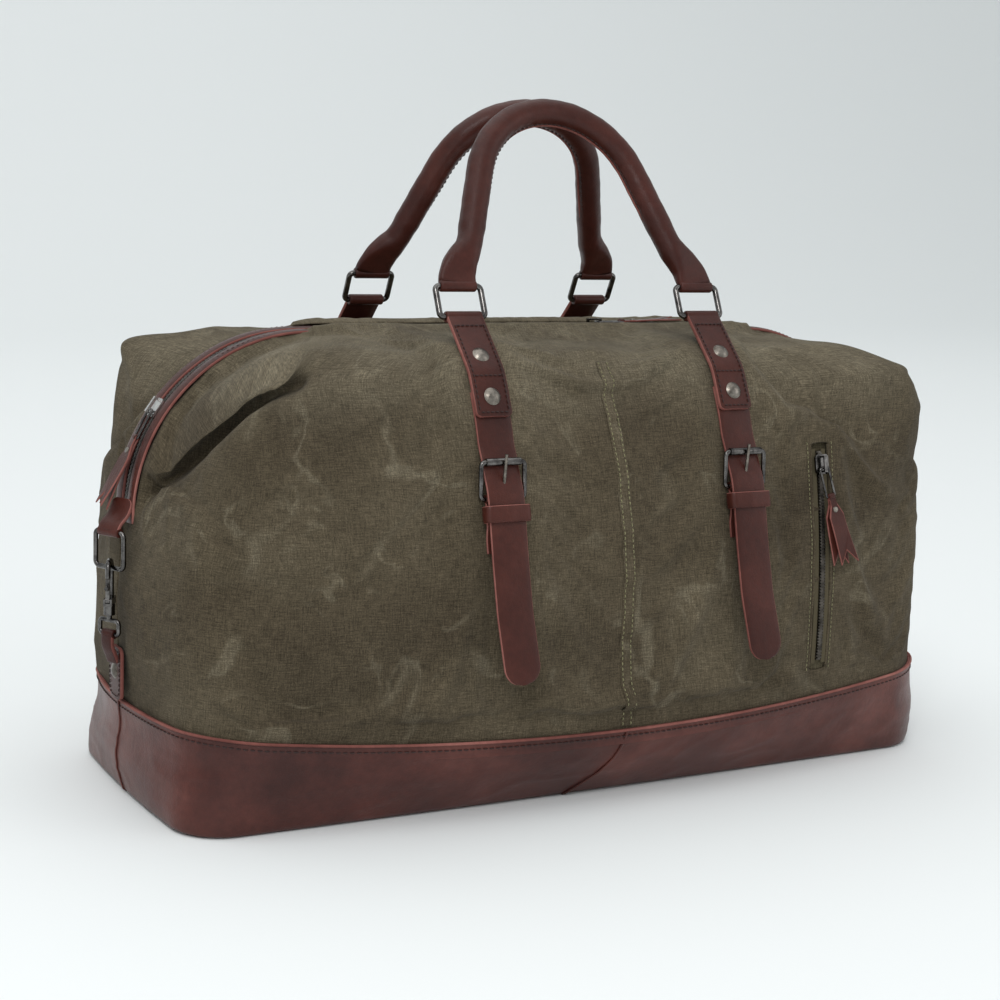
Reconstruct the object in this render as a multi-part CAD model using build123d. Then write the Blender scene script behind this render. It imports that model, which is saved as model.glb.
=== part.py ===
from build123d import *

import os
from math import atan2, cos, degrees, radians, sin, sqrt, tan

# Canvas and leather weekender duffel bag, one solid or group of solids for each real piece.
# Millimetres. X runs along the bag, -Y is the front and +Z is up.
# The origin is the middle of the underside that the bag rests on.

# ---------------------------------------------------------------- driving dimensions
LEATHER = 1.6
CANVAS = 1.6
LINING = 0.6
PLY_GAP = 0.1
STRAP_WIDTH = 25.0
STRAP_X = 88.0

# Body outlines: height, half width at the middle, half length on the centre line,
# corner x, corner y, corner radius, and how far the surface has turned from wall (0) to roof (1).
BODY = (
    (0, 110, 268, 264, 107, 24, 0.0),
    (26, 131, 279, 263, 110, 28, 0.0),
    (47, 143, 280, 261, 112, 34, 0.0),
    (81, 143, 283, 259, 112, 38, 0.0),
    (125, 142, 285, 256, 112, 38, 0.0),
    (156, 139, 282, 254, 111, 34, 0.0),
    (180, 133, 279.5, 251, 110, 30, 0.0),
    (210, 126, 273, 248, 109, 26, 0.2),
    (240, 115, 257.5, 246, 108, 18, 0.3),
    (267, 101, 231, 242, 105, 10, 0.6),
    (276, 95, 215, 226, 91, 10, 0.9),
    (283, 86, 197, 203, 82, 10, 1.0),
    (287, 48, 176, 174, 46, 10, 1.0),
    (289, 14, 162, 160, 10, 6, 1.0),
)
RIM_MID = 49.0  # height of the leather's top edge at the middle of the front
RIM_END = 62.0  # and at the two ends
RIM_REACH = 290.0
CANVAS_TUCK = 8.0
PIPING_HEIGHT = 2.6
PIPING_PROUD = 0.9
BOARD = 3.0

# Main zip: a flat run with an arc down each end, measured on the centre line.
ZIP_FLAT = 166.0
ZIP_TOP = 287.0
ZIP_RADIUS = 112.0
ZIP_CENTRE_Z = ZIP_TOP - ZIP_RADIUS
ZIP_END_ANGLE = 88.0
MOUTH_HALF = 14.0
TOP_SLIDER_X = 50.0
END_SLIDER_ANGLE = 55.0
END_PULL_DROOP = 7.0

# Zip section, measured out from the zip line: (inner, outer) heights and (near, far) half widths.
TEETH = (-2.6, 0.4, 0.8, 3.2)
TAPE = (-2.6, -1.6, 3.3, 13.7)
FACING = (-1.5, -0.1, 6.0, 13.7)

# Handles and their rings, in a plane that leans in from the rings to the handle's top.
RING_WIRE = 1.9
RING_BAR = 31.2
RING_RISE = 20.2
RING_CORNER = 3.0
UPPER_BAR = (-62.7, 319.0)  # y and z of the front rings' upper bars
HANDLE_LEAN = 25.2
HANDLE_TUBE = 8.5
HANDLE_TOP = 121.0  # centre line's height above the upper bar, along the leaning plane
HANDLE_ARC = 60.0
LEG_LEAN = 18.5
HANDLE_SHOULDER = (HANDLE_ARC * cos(radians(LEG_LEAN)), HANDLE_TOP - HANDLE_ARC * (1 - sin(radians(LEG_LEAN))))
HANDLE_START = 26.0  # height where the flat ends become a round grip
HANDLE_FOOT_X = HANDLE_SHOULDER[0] + (HANDLE_SHOULDER[1] - HANDLE_START) * tan(radians(LEG_LEAN))
RUNNING = 0.06  # radial clearance of every turning fit
LOOP_WIDTH = 24.6
LOOP_WALL = 1.7

# Handle tabs and rivets
TAB_BOTTOM = 243.0
RIVET_HEIGHTS = (279.0, 256.0)
RIVET_HEAD = 5.5
RIVET_DOME = 2.2

# Buckles, in a local frame on the canvas: s up along it and d out from it
BUCKLE_Z = 207.0
WIRE = 1.5
HEEL = (-10.5, 2.9)
ROLLER_BAR = (11.0, 7.2)
ROLLER = 2.4
FRAME_HALF = 14.7
FRAME_CORNER = 2.6
STRAP_THICK = 1.8
KEEPER_S = (-25.0, -15.0)
KEEPER_D = (3.4, 10.4)
PRONG = 1.0
TAIL_TIP_Z = 90.0

# Pocket zip on the front
POCKET_X = 156.0
POCKET_TOP = 217.0
POCKET_BOTTOM = 75.0
POCKET_TEETH = (-2.2, 0.5, 0.8, 2.4)
POCKET_TAPE = (-2.2, -1.2, 2.5, 5.8)
POCKET_WINDOW = 6.2
POCKET_SLIDER_Z = 207.0
POCKET_PULL_YAW = 12.0
POCKET_BAG_X = (144.0, 223.0)
POCKET_BAG_Z = (56.0, 232.0)
POCKET_BAG_DEPTH = (5.2, 9.2)

# Sliders and pulls
PULL_PIN = (2.6, 3.9)
PULL_LENGTH = 19.4
PULL_HALF = 3.4
PULL_WIRE = 0.8
PULL_LEATHER = 48.0
PULL_LEATHER_HALF = 6.0

# End hardware: a ring on the zip's end, a swivel snap hook and a leather loop on the end seam
END_X = 291.0
END_Y = -11.0
END_TWIST = 26.0
END_BAR_Z = 167.5
END_RING = (12.0, 22.0)
END_WIRE = 1.5
HOOK_Z = (126.0, 149.5)
HOOK_HALF = 5.3
HOOK_WIRE = 1.6
EYE_Z = (104.5, 115.0)
HOOK_TURN = 35.0
EYE_HALF = 8.0
PATCH_Z = (62.6, 95.0)
PATCH_HALF = 11.0
PATCH_OUT = (283.4, 285.8)
PATCH_Y = -6.0
END_RIVET_Z = 80.0

FAR = 500.0


# ---------------------------------------------------------------- shared shapes
def slab_y(outline, y_low, y_high):
    """Extrude an outline drawn in X and Z from y_low to y_high."""
    return extrude(Plane.XZ.offset(-y_high) * outline, amount=y_high - y_low)


def slab_x(outline, x_low, x_high):
    """Extrude an outline drawn in Y and Z from x_low to x_high."""
    return extrude(Plane.YZ.offset(x_low) * outline, amount=x_high - x_low)


def block(x, y, z):
    """Box between three (low, high) pairs."""
    size = [high - low for low, high in (x, y, z)]
    centre = [(high + low) / 2 for low, high in (x, y, z)]
    return Pos(*centre) * Box(*size)


def rod(start, end, radius):
    """Round bar between two points."""
    direction = Vector(*end) - Vector(*start)
    plane = Plane(origin=start, z_dir=direction)
    return extrude(plane * Circle(radius), amount=direction.length)


def strip(points, thickness):
    """Closed outline of a strip of even thickness about an open line of points."""
    half = thickness / 2
    left, right = [], []
    for i, (a, b) in enumerate(points):
        before = points[max(i - 1, 0)]
        after = points[min(i + 1, len(points) - 1)]
        run = (after[0] - before[0], after[1] - before[1])
        length = sqrt(run[0] ** 2 + run[1] ** 2)
        normal = (-run[1] / length * half, run[0] / length * half)
        left.append((a + normal[0], b + normal[1]))
        right.append((a - normal[0], b - normal[1]))
    return make_face(Polyline(*left, *reversed(right), close=True))


def rounded_ring(half_x, half_y, corner, wire):
    """Ring of round wire about the origin in the XY plane."""
    path = RectangleRounded(2 * half_x, 2 * half_y, corner).face().outer_wire()
    start = path @ 0
    section = Plane(origin=start, z_dir=path % 0) * Circle(wire)
    return sweep(section, path=path)


def both_ends(shape):
    """The left piece and its mirror image on the right."""
    return shape, mirror(shape, about=Plane.YZ)


# ---------------------------------------------------------------- bag body
def section(row, inset):
    """One horizontal body outline, drawn in by inset along the surface's normal."""
    z, half_width, half_length, corner_x, corner_y, radius, roof = row
    side = inset * (1 - roof)
    corners = [
        (sx * (corner_x - side), sy * (corner_y - side))
        for sx, sy in ((-1, -1), (1, -1), (1, 1), (-1, 1))
    ]
    middles = [(0, side - half_width), (half_length - side, 0), (0, half_width - side), (side - half_length, 0)]
    sides = [ThreePointArc(corners[i], middles[i], corners[(i + 1) % 4]) for i in range(4)]
    outline = make_face(sides)
    return Pos(0, 0, z - inset * roof) * fillet(outline.vertices(), radius)


def body(inset):
    """The bag's closed outer form, drawn in by inset."""
    return loft([section(row, inset) for row in BODY], ruled=True)


def front_y(x, z):
    """Y of the front face at x and z."""
    rows = list(zip(BODY, BODY[1:]))
    low, high = next((a, b) for a, b in rows if a[0] <= z <= b[0])

    def bow(row):
        """Y of one outline's front arc at x."""
        rise = row[1] - row[4]
        if abs(rise) < 0.01:
            return -row[1]
        radius = (row[3] ** 2 + rise**2) / (2 * abs(rise))
        drop = radius - sqrt(radius**2 - x**2)
        return -row[1] + drop * (1 if rise > 0 else -1)

    share = (z - low[0]) / (high[0] - low[0])
    return bow(low) + (bow(high) - bow(low)) * share


def above_rim(drop):
    """Everything above the leather's top edge, lowered by drop."""
    arc = ThreePointArc((-RIM_REACH, RIM_END - drop), (0, RIM_MID - drop), (RIM_REACH, RIM_END - drop))
    lid = Polyline(
        (RIM_REACH, RIM_END - drop), (RIM_REACH, FAR), (-RIM_REACH, FAR), (-RIM_REACH, RIM_END - drop)
    )
    return slab_y(make_face([arc, lid]), -FAR, FAR)


def mouth(half, bottom):
    """The slot along the top that the zip closes."""
    return block((-FAR, FAR), (-half, half), (bottom, FAR))


def pocket_window():
    """Opening in the front, right-hand panel that the pocket zip closes."""
    x = (POCKET_X - POCKET_WINDOW, POCKET_X + POCKET_WINDOW)
    return block(x, (-FAR, 0), (POCKET_BOTTOM - 4, POCKET_TOP + 4))


def canvas_panels():
    """Four quarter panels, joined at the middle of each side and at the end seams."""
    outside = body(LEATHER + PLY_GAP)
    inside = body(LEATHER + PLY_GAP + CANVAS)
    zip_end = ZIP_CENTRE_Z + ZIP_RADIUS * cos(radians(ZIP_END_ANGLE))
    shell = (outside - inside) & above_rim(CANVAS_TUCK)
    shell -= mouth(MOUTH_HALF, zip_end - 6)
    panels = {}
    for front, y in (("front", (-FAR, 0)), ("back", (0, FAR))):
        for side, x in (("left", (-FAR, 0)), ("right", (0, FAR))):
            panel = shell & block(x, y, (0, FAR))
            if (front, side) == ("front", "right"):
                panel -= pocket_window()
            panels[f"canvas_{front}_{side}"] = panel
    return panels


def base_pieces():
    """Leather tray with its piping, and the stiff board that lies in it."""
    tray = body(0) - (body(LEATHER) & block((-FAR, FAR), (-FAR, FAR), (LEATHER, FAR)))
    tray -= above_rim(0)
    piping = (body(-PIPING_PROUD) - body(-0.05)) & above_rim(PIPING_HEIGHT)
    piping -= above_rim(0)
    board = body(LEATHER + CANVAS + 2) & block((-FAR, FAR), (-FAR, FAR), (LEATHER + PLY_GAP, LEATHER + PLY_GAP + BOARD))
    return {"leather_base": tray, "base_piping": piping, "base_board": board}


def lining():
    """Thin cloth bag inside the canvas, open at the mouth and behind the pocket zip."""
    start = LEATHER + 2 * PLY_GAP + CANVAS
    floor = LEATHER + 2 * PLY_GAP + BOARD
    zip_end = ZIP_CENTRE_Z + ZIP_RADIUS * cos(radians(ZIP_END_ANGLE))
    room = body(start + LINING) & block((-FAR, FAR), (-FAR, FAR), (floor + LINING, FAR))
    cloth = (body(start) & block((-FAR, FAR), (-FAR, FAR), (floor, FAR))) - room
    return cloth - mouth(MOUTH_HALF, zip_end - 6) - pocket_window()


def pocket_bag():
    """Flat cloth pouch hung inside the lining behind the pocket zip."""

    def layer(near, far, trim):
        """Part of the space behind the front face, from near to far inside it."""
        x = (POCKET_BAG_X[0] + trim, POCKET_BAG_X[1] - trim)
        z = (POCKET_BAG_Z[0] + trim, POCKET_BAG_Z[1] - trim)
        return (body(near) - body(far)) & block(x, (-FAR, 0), z)

    near, far = POCKET_BAG_DEPTH
    pouch = layer(near, far, 0) - layer(near + LINING, far - LINING, LINING)
    slit = pocket_window() - body(far - 2 * LINING)
    return pouch - slit


# ---------------------------------------------------------------- zips
def zip_point(angle, height):
    """X and Z at an angle round the right-hand end arc, at a height off the zip line."""
    radius = ZIP_RADIUS + height
    return ZIP_FLAT + radius * sin(radians(angle)), ZIP_CENTRE_Z + radius * cos(radians(angle))


def zip_band(low, high, near, far):
    """Two strips that follow the zip line, one on each side of it."""
    edges = []
    for height in (low, high):
        start, middle, end = (zip_point(a, height) for a in (0, ZIP_END_ANGLE / 2, ZIP_END_ANGLE))
        edges.append(Line((-start[0], start[1]), start))
        edges.append(ThreePointArc(start, middle, end))
        edges.append(ThreePointArc(*((-x, z) for x, z in (start, middle, end))))
    for sx in (-1, 1):
        (x0, z0), (x1, z1) = zip_point(ZIP_END_ANGLE, low), zip_point(ZIP_END_ANGLE, high)
        edges.append(Line((sx * x0, z0), (sx * x1, z1)))
    outline = make_face(edges)
    return slab_y(outline, -far, -near), slab_y(outline, near, far)


def circle_through(a, b, c):
    """Centre and radius of the circle through three points."""
    (ax, ay), (bx, by), (cx, cy) = a, b, c
    d = 2 * (ax * (by - cy) + bx * (cy - ay) + cx * (ay - by))
    aa, bb, cc = ax**2 + ay**2, bx**2 + by**2, cx**2 + cy**2
    x = (aa * (by - cy) + bb * (cy - ay) + cc * (ay - by)) / d
    y = (aa * (cx - bx) + bb * (ax - cx) + cc * (bx - ax)) / d
    return (x, y), sqrt((ax - x) ** 2 + (ay - y) ** 2)


def pocket_arc():
    """Centre (y, z) and radius of the arc that the pocket zip follows."""
    heights = (POCKET_TOP, (POCKET_TOP + POCKET_BOTTOM) / 2, POCKET_BOTTOM)
    return circle_through(*((front_y(POCKET_X, z), z) for z in heights))


def pocket_angle(z):
    """Angle round the pocket arc's centre, up from straight out to the front."""
    (_, cz), radius = pocket_arc()
    return degrees(atan2(z - cz, sqrt(radius**2 - (z - cz) ** 2)))


def pocket_point(angle, height):
    """Y and Z at an angle round the pocket arc, at a height off it."""
    (cy, cz), radius = pocket_arc()
    reach = radius + height
    return cy - reach * cos(radians(angle)), cz + reach * sin(radians(angle))


def pocket_band(low, high, near, far):
    """Two strips that follow the pocket zip."""
    top, bottom = pocket_angle(POCKET_TOP), pocket_angle(POCKET_BOTTOM)
    edges = []
    for height in (low, high):
        edges.append(ThreePointArc(*(pocket_point(a, height) for a in (top, (top + bottom) / 2, bottom))))
    for angle in (top, bottom):
        edges.append(Line(pocket_point(angle, low), pocket_point(angle, high)))
    outline = make_face(edges)
    return [
        slab_x(outline, POCKET_X + a, POCKET_X + b) for a, b in ((-far, -near), (near, far))
    ]


def slider():
    """Slider body on a zip that runs along X, with its bridge; the zip line is the origin."""
    upper = block((-6.5, 6.5), (-5.2, 5.2), (0.9, 2.4))
    lower = block((-6.5, 6.5), (-5.2, 5.2), (-4.6, -3.1))
    plates = fillet((upper + lower).edges().filter_by(Axis.Z), 2.4)
    blade = block((-5.5, -2.5), (-0.5, 0.5), (-3.5, 1.5))
    legs = block((-5.4, -4.2), (-1.2, 1.2), (2.3, 6.4)) + block((4.2, 5.4), (-1.2, 1.2), (2.3, 6.4))
    bridge = block((-5.4, 5.4), (-1.2, 1.2), (5.2, 6.4))
    return plates + blade + legs + bridge


def puller():
    """Rectangular wire pull; it swings on the pin that passes under the slider's bridge."""
    x, z = PULL_PIN
    ring = rounded_ring(PULL_LENGTH / 2, PULL_HALF, 1.2, PULL_WIRE)
    return Pos(x + PULL_LENGTH / 2, 0, z) * ring


def pull_leather():
    """Folded leather pull; it swings on the wire pull's far bar."""
    x, z = PULL_PIN
    bar = x + PULL_LENGTH
    neck, wall = 2.1, 1.3
    outer = PULL_WIRE + RUNNING + wall
    outline = Polyline(
        (bar, -neck),
        (bar + 6, -neck),
        (bar + 12, -PULL_LEATHER_HALF),
        (bar + PULL_LEATHER, -PULL_LEATHER_HALF),
        (bar + PULL_LEATHER - 8, 0),
        (bar + PULL_LEATHER, PULL_LEATHER_HALF),
        (bar + 12, PULL_LEATHER_HALF),
        (bar + 6, neck),
        (bar, neck),
        close=True,
    )
    flat = Pos(0, 0, z - wall) * extrude(make_face(outline), amount=2 * wall)
    loop = rod((bar, -neck, z), (bar, neck, z), outer)
    hole = rod((bar, -2 * neck, z), (bar, 2 * neck, z), PULL_WIRE + RUNNING)
    rivet = Pos(bar + 8, 0, z + wall) * Cylinder(1.9, 1.6)
    return flat + loop + rivet - hole


def top_place():
    """Frame of the top slider: X along the flat run, Z out."""
    return Location((TOP_SLIDER_X, 0, ZIP_TOP))


def end_slider_place():
    """Frame of the left end slider: X down the end arc, Z out."""
    x, z = zip_point(END_SLIDER_ANGLE, 0)
    tangent = (-cos(radians(END_SLIDER_ANGLE)), 0, -sin(radians(END_SLIDER_ANGLE)))
    outward = (-sin(radians(END_SLIDER_ANGLE)), 0, cos(radians(END_SLIDER_ANGLE)))
    return Plane(origin=(-x, 0, z), x_dir=tangent, z_dir=outward).location


def pocket_place():
    """Frame of the pocket slider: X down the pocket zip, Z out."""
    angle = pocket_angle(POCKET_SLIDER_Z)
    y, z = pocket_point(angle, 0)
    down = (0, -sin(radians(angle)), -cos(radians(angle)))
    outward = (0, -cos(radians(angle)), sin(radians(angle)))
    return Plane(origin=(POCKET_X, y, z), x_dir=down, z_dir=outward).location


def at_pin(turn):
    """Turn about the slider's pin, where a pull hangs."""
    x, z = PULL_PIN
    return Pos(x, 0, z) * turn * Pos(-x, 0, -z)


def zip_pieces():
    """Tapes, teeth, leather facings, sliders and pulls of both zips."""
    facings = zip_band(*FACING)
    pieces = {
        "zip_tapes": Compound(zip_band(*TAPE)),
        "zip_teeth": Compound(zip_band(*TEETH)),
        "zip_facing_front": facings[0],
        "zip_facing_back": facings[1],
        "pocket_zip_tapes": Compound(pocket_band(*POCKET_TAPE)),
        "pocket_zip_teeth": Compound(pocket_band(*POCKET_TEETH)),
    }
    for name, place, turn in (
        ("top", top_place(), Rot()),
        ("end", end_slider_place(), Rot(0, END_PULL_DROOP, 0)),
        ("pocket", pocket_place(), Rot(0, 0, POCKET_PULL_YAW)),
    ):
        pieces[f"{name}_slider"] = place * slider()
        pieces[f"{name}_puller"] = place * at_pin(turn) * puller()
        pieces[f"{name}_pull_leather"] = place * at_pin(turn) * pull_leather()
    return pieces


# ---------------------------------------------------------------- handles
def handle_plane():
    """Plane of the front handle: its X is the bag's X, its Y runs up the lean, from the upper bars."""
    lean = radians(HANDLE_LEAN)
    return Plane(origin=(0, *UPPER_BAR), x_dir=(1, 0, 0), z_dir=(0, -cos(lean), sin(lean)))


def lower_bar():
    """Y and Z of the front rings' lower bars."""
    lean = radians(HANDLE_LEAN)
    return UPPER_BAR[0] - RING_RISE * sin(lean), UPPER_BAR[1] - RING_RISE * cos(lean)


def handle_tube(radius, trim):
    """Round bar along the handle's arch, shortened by trim at each end."""
    slope = (HANDLE_FOOT_X - HANDLE_SHOULDER[0]) / (HANDLE_SHOULDER[1] - HANDLE_START)
    foot = (HANDLE_FOOT_X - trim * slope, HANDLE_START + trim)
    x, y = HANDLE_SHOULDER
    path = Wire(
        [
            Line(foot, (x, y)),
            ThreePointArc((x, y), (0, HANDLE_TOP), (-x, y)),
            Line((-x, y), (-foot[0], foot[1])),
        ]
    )
    return sweep(Plane(origin=path @ 0, z_dir=path % 0) * Circle(radius), path=path)


def handle_cover():
    """Rolled leather grip, the flat ends that wrap the rings' upper bars, and the cord inside."""
    wall = 1.6
    cover = [handle_tube(HANDLE_TUBE, 0) - handle_tube(HANDLE_TUBE - wall, 3)]
    core = handle_tube(HANDLE_TUBE - wall - PLY_GAP, 4)
    loop = RING_WIRE + RUNNING + LOOP_WALL
    neck = -PLY_GAP / 2
    lean = tan(radians(LEG_LEAN))
    for sx in (-1, 1):
        top = Plane(
            origin=(sx * (HANDLE_FOOT_X - neck * lean), HANDLE_START + neck, 0),
            x_dir=(1, sx * lean, 0),
            z_dir=(-sx * lean, 1, 0),
        )
        low = Plane(origin=(sx * STRAP_X, loop + 1, 0), x_dir=(1, 0, 0), z_dir=(0, 1, 0))
        x = (sx * STRAP_X - LOOP_WIDTH / 2, sx * STRAP_X + LOOP_WIDTH / 2)
        end = loft([low * RectangleRounded(LOOP_WIDTH, 2 * loop - 0.4, 2.5), top * Circle(HANDLE_TUBE)])
        end += block(x, (0, loop + 1.5), (-loop, loop))
        end += rod((x[0], 0, 0), (x[1], 0, 0), loop)
        cover.append(end - rod((x[0] - 5, 0, 0), (x[1] + 5, 0, 0), RING_WIRE + RUNNING))
    return Compound([solid for piece in cover for solid in piece.solids()]), core


def handle_pieces():
    """Both handles with their filler cords and the four rectangular rings."""
    plane = handle_plane().location
    cover, core = (plane * shape for shape in handle_cover())
    ring = rounded_ring(RING_BAR / 2, RING_RISE / 2, RING_CORNER, RING_WIRE)
    left = plane * Pos(-STRAP_X, -RING_RISE / 2, 0) * ring
    right = plane * Pos(STRAP_X, -RING_RISE / 2, 0) * ring
    pieces = {}
    for name, shape in (
        ("handle_cover", cover),
        ("handle_core", core),
        ("handle_ring_left", left),
        ("handle_ring_right", right),
    ):
        front, _, side = name.partition("_ring")
        pieces[f"{front}{'_ring' if side else ''}_front{side}"] = shape
        pieces[f"{front}{'_ring' if side else ''}_back{side}"] = mirror(shape, about=Plane.XZ)
    return pieces


# ---------------------------------------------------------------- straps and buckles
def off_canvas(z, distance):
    """Y and Z of a point a distance off the front canvas at the straps."""
    slope = (front_y(STRAP_X, z + 2) - front_y(STRAP_X, z - 2)) / 4
    length = sqrt(1 + slope**2)
    return front_y(STRAP_X, z) - distance / length, z + distance * slope / length


def tab_line():
    """Y and Z points down the middle of the front handle tabs, from the ring's lower bar."""
    return [lower_bar()] + [off_canvas(z, 4.0) for z in (269, 263, TAB_BOTTOM)]


def off_tab(z, distance):
    """Y and Z of a point a distance out from the middle of the tabs, and the outward direction."""
    line = tab_line()
    (y1, z1), (y0, z0) = next((a, b) for a, b in zip(line, line[1:]) if b[1] <= z <= a[1])
    length = sqrt((y1 - y0) ** 2 + (z1 - z0) ** 2)
    out = (-(z1 - z0) / length, (y1 - y0) / length)
    y = y0 + (y1 - y0) * (z - z0) / (z1 - z0)
    return (y + distance * out[0], z + distance * out[1]), out


def handle_tab():
    """Folded leather tab: a loop round the ring's lower bar, and the end stitched to the canvas."""
    bar = lower_bar()
    hole = RING_WIRE + RUNNING
    outer = hole + LOOP_WALL
    width = (STRAP_X - LOOP_WIDTH / 2, STRAP_X + LOOP_WIDTH / 2)
    tab = slab_x(strip(tab_line(), 2 * LEATHER + PLY_GAP), *width)
    tab += rod((width[0], *bar), (width[1], *bar), outer)
    return tab - rod((width[0] - 5, *bar), (width[1] + 5, *bar), hole)


def dome(point, outward, radius, height):
    """Domed rivet head with its flat side on point."""
    plane = Plane(origin=point, z_dir=outward)
    ball = (radius**2 + height**2) / (2 * height)
    head = Pos(0, 0, height - ball) * Sphere(ball)
    return plane.location * (head & block((-radius, radius), (-radius, radius), (0, height + 1)))


def rivets():
    """Domed rivet heads on the handle tabs and on the end patches."""
    heads = []
    for z in RIVET_HEIGHTS:
        face, out = off_tab(z, LEATHER + PLY_GAP)
        head = dome((-STRAP_X, *face), (0, *out), RIVET_HEAD, RIVET_DOME)
        for row in (head, mirror(head, about=Plane.XZ)):
            heads.extend(both_ends(row))
    end = dome((-PATCH_OUT[1] - 0.05, PATCH_Y, END_RIVET_Z), (-1, 0, 0), RIVET_HEAD, RIVET_DOME)
    heads.extend(both_ends(end))
    return Compound([solid for head in heads for solid in head.solids()])


def buckle_axes():
    """Origin, upward and outward directions in Y and Z of the buckle's local frame."""
    slope = (front_y(STRAP_X, BUCKLE_Z + 20) - front_y(STRAP_X, BUCKLE_Z - 20)) / 40
    length = sqrt(1 + slope**2)
    return (front_y(STRAP_X, BUCKLE_Z), BUCKLE_Z), (slope / length, 1 / length), (-1 / length, slope / length)


def buckle_point(s, d):
    """Y and Z of a point s up and d out in the buckle's local frame."""
    origin, up, out = buckle_axes()
    return origin[0] + s * up[0] + d * out[0], origin[1] + s * up[1] + d * out[1]


def local_block(x_half, s, d):
    """Box in the buckle's frame, centred on the strap."""
    corners = [buckle_point(a, b) for a, b in ((s[0], d[0]), (s[1], d[0]), (s[1], d[1]), (s[0], d[1]))]
    return slab_x(make_face(Polyline(*corners, close=True)), STRAP_X - x_half, STRAP_X + x_half)


def cross_bar(point, half, radius):
    """Round bar along X through a point of the buckle's frame."""
    y, z = buckle_point(*point)
    return rod((STRAP_X - half, y, z), (STRAP_X + half, y, z), radius)


def strap():
    """Buckle strap: from under the handle tab, through the buckle and keeper, to its rounded tip."""
    line = [off_canvas(z, 1.2) for z in (258, 250, 242, 235, 228)]
    line += [buckle_point(s, d) for s, d in ((12, 2.9), (4, 4.0), (-5, 6.6), (-12, 7.2), (-26, 6.9))]
    line += [(-143, 160), (-150, 131), (-156.5, 107), (-160, TAIL_TIP_Z)]
    half = STRAP_WIDTH / 2 - 0.3
    band = slab_x(strip(line, STRAP_THICK), STRAP_X - half, STRAP_X + half)
    end = Pos(STRAP_X, TAIL_TIP_Z + half) * Circle(half)
    end += Pos(STRAP_X, TAIL_TIP_Z + half + 150) * Rectangle(2 * half, 300)
    return (band & slab_y(end, -FAR, 0)) - local_block(2.2, (-13.5, 9.5), (-1, 12))


def chape():
    """Short strap sewn under the buckle strap; its fold holds the buckle's heel bar."""
    half = 11.6
    sewn = [off_canvas(z, 1.0) for z in (165, 175, 185)]
    piece = slab_x(strip(sewn + [buckle_point(HEEL[0], 1.0)], LEATHER), STRAP_X - half, STRAP_X + half)
    piece += local_block(half, (-26.5, HEEL[0]), (1.2, 3.3))
    piece += cross_bar(HEEL, half, WIRE + RUNNING + 1.3)
    piece -= cross_bar(HEEL, 2 * half, WIRE + RUNNING)
    return piece - local_block(2.4, (-17.5, 0), (-3, 12))


def keeper():
    """Closed leather loop that holds the strap's tail down on the chape."""
    outer = local_block(STRAP_WIDTH / 2 + 2.3, KEEPER_S, KEEPER_D)
    return outer - local_block(
        STRAP_WIDTH / 2 + 0.9, (KEEPER_S[0] - 1, KEEPER_S[1] + 1), (KEEPER_D[0] + 1.2, KEEPER_D[1] - 1.2)
    )


def buckle_frame():
    """Rectangular buckle frame: heel bar below, roller bar above."""
    rise = sqrt((ROLLER_BAR[0] - HEEL[0]) ** 2 + (ROLLER_BAR[1] - HEEL[1]) ** 2)
    heel, top = buckle_point(*HEEL), buckle_point(*ROLLER_BAR)
    upward = ((top[0] - heel[0]) / rise, (top[1] - heel[1]) / rise)
    middle = ((top[0] + heel[0]) / 2, (top[1] + heel[1]) / 2)
    plane = Plane(origin=(STRAP_X, *middle), x_dir=(1, 0, 0), z_dir=(0, -upward[1], upward[0]))
    return plane.location * rounded_ring(FRAME_HALF, rise / 2, FRAME_CORNER, WIRE)


def prong():
    """Prong: an eye on the heel bar and a pin through the strap's hole, over the roller."""
    over = (ROLLER_BAR[0], ROLLER_BAR[1] + ROLLER + PRONG + 0.5)
    reach = 1.18
    tip = (HEEL[0] + (over[0] - HEEL[0]) * reach, HEEL[1] + (over[1] - HEEL[1]) * reach)
    pin = rod((STRAP_X, *buckle_point(*HEEL)), (STRAP_X, *buckle_point(*tip)), PRONG)
    eye = cross_bar(HEEL, 1.6, WIRE + RUNNING + 1.1)
    return pin + eye - cross_bar(HEEL, 3, WIRE + RUNNING)


def strap_pieces():
    """Tabs on all four rings, and the two buckled straps on the front."""
    roller = cross_bar(ROLLER_BAR, 11.6, ROLLER) - cross_bar(ROLLER_BAR, 15, WIRE + RUNNING)
    pieces = {}
    for side, shape in zip(("right", "left"), both_ends(handle_tab())):
        pieces[f"handle_tab_front_{side}"] = shape
        pieces[f"handle_tab_back_{side}"] = mirror(shape, about=Plane.XZ)
    for name, shape in (
        ("buckle_strap", strap()),
        ("buckle_chape", chape()),
        ("strap_keeper", keeper()),
        ("buckle_frame", buckle_frame()),
        ("buckle_roller", roller),
        ("buckle_prong", prong()),
    ):
        for side, half in zip(("right", "left"), both_ends(shape)):
            pieces[f"{name}_{side}"] = half
    return pieces


# ---------------------------------------------------------------- end hardware
def end_place():
    """Frame of the left end's hardware: X out from the bag, Y along its face, Z up."""
    return Location((-END_X, END_Y, 0), (0, 0, 180 + END_TWIST))


def zip_end_tab():
    """Leather tab on the end of the zip, folded round the end ring's bar."""
    hole = END_WIRE + RUNNING
    line = [(0.0, END_BAR_Z), (-2.4, END_BAR_Z + 4), (-7.5, END_BAR_Z + 7)]
    tab = slab_y(strip(line, 2.6), -8.5, 8.5)
    tab += rod((0, -8.5, END_BAR_Z), (0, 8.5, END_BAR_Z), hole + 1.5)
    return tab - rod((0, -12, END_BAR_Z), (0, 12, END_BAR_Z), hole)


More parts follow.
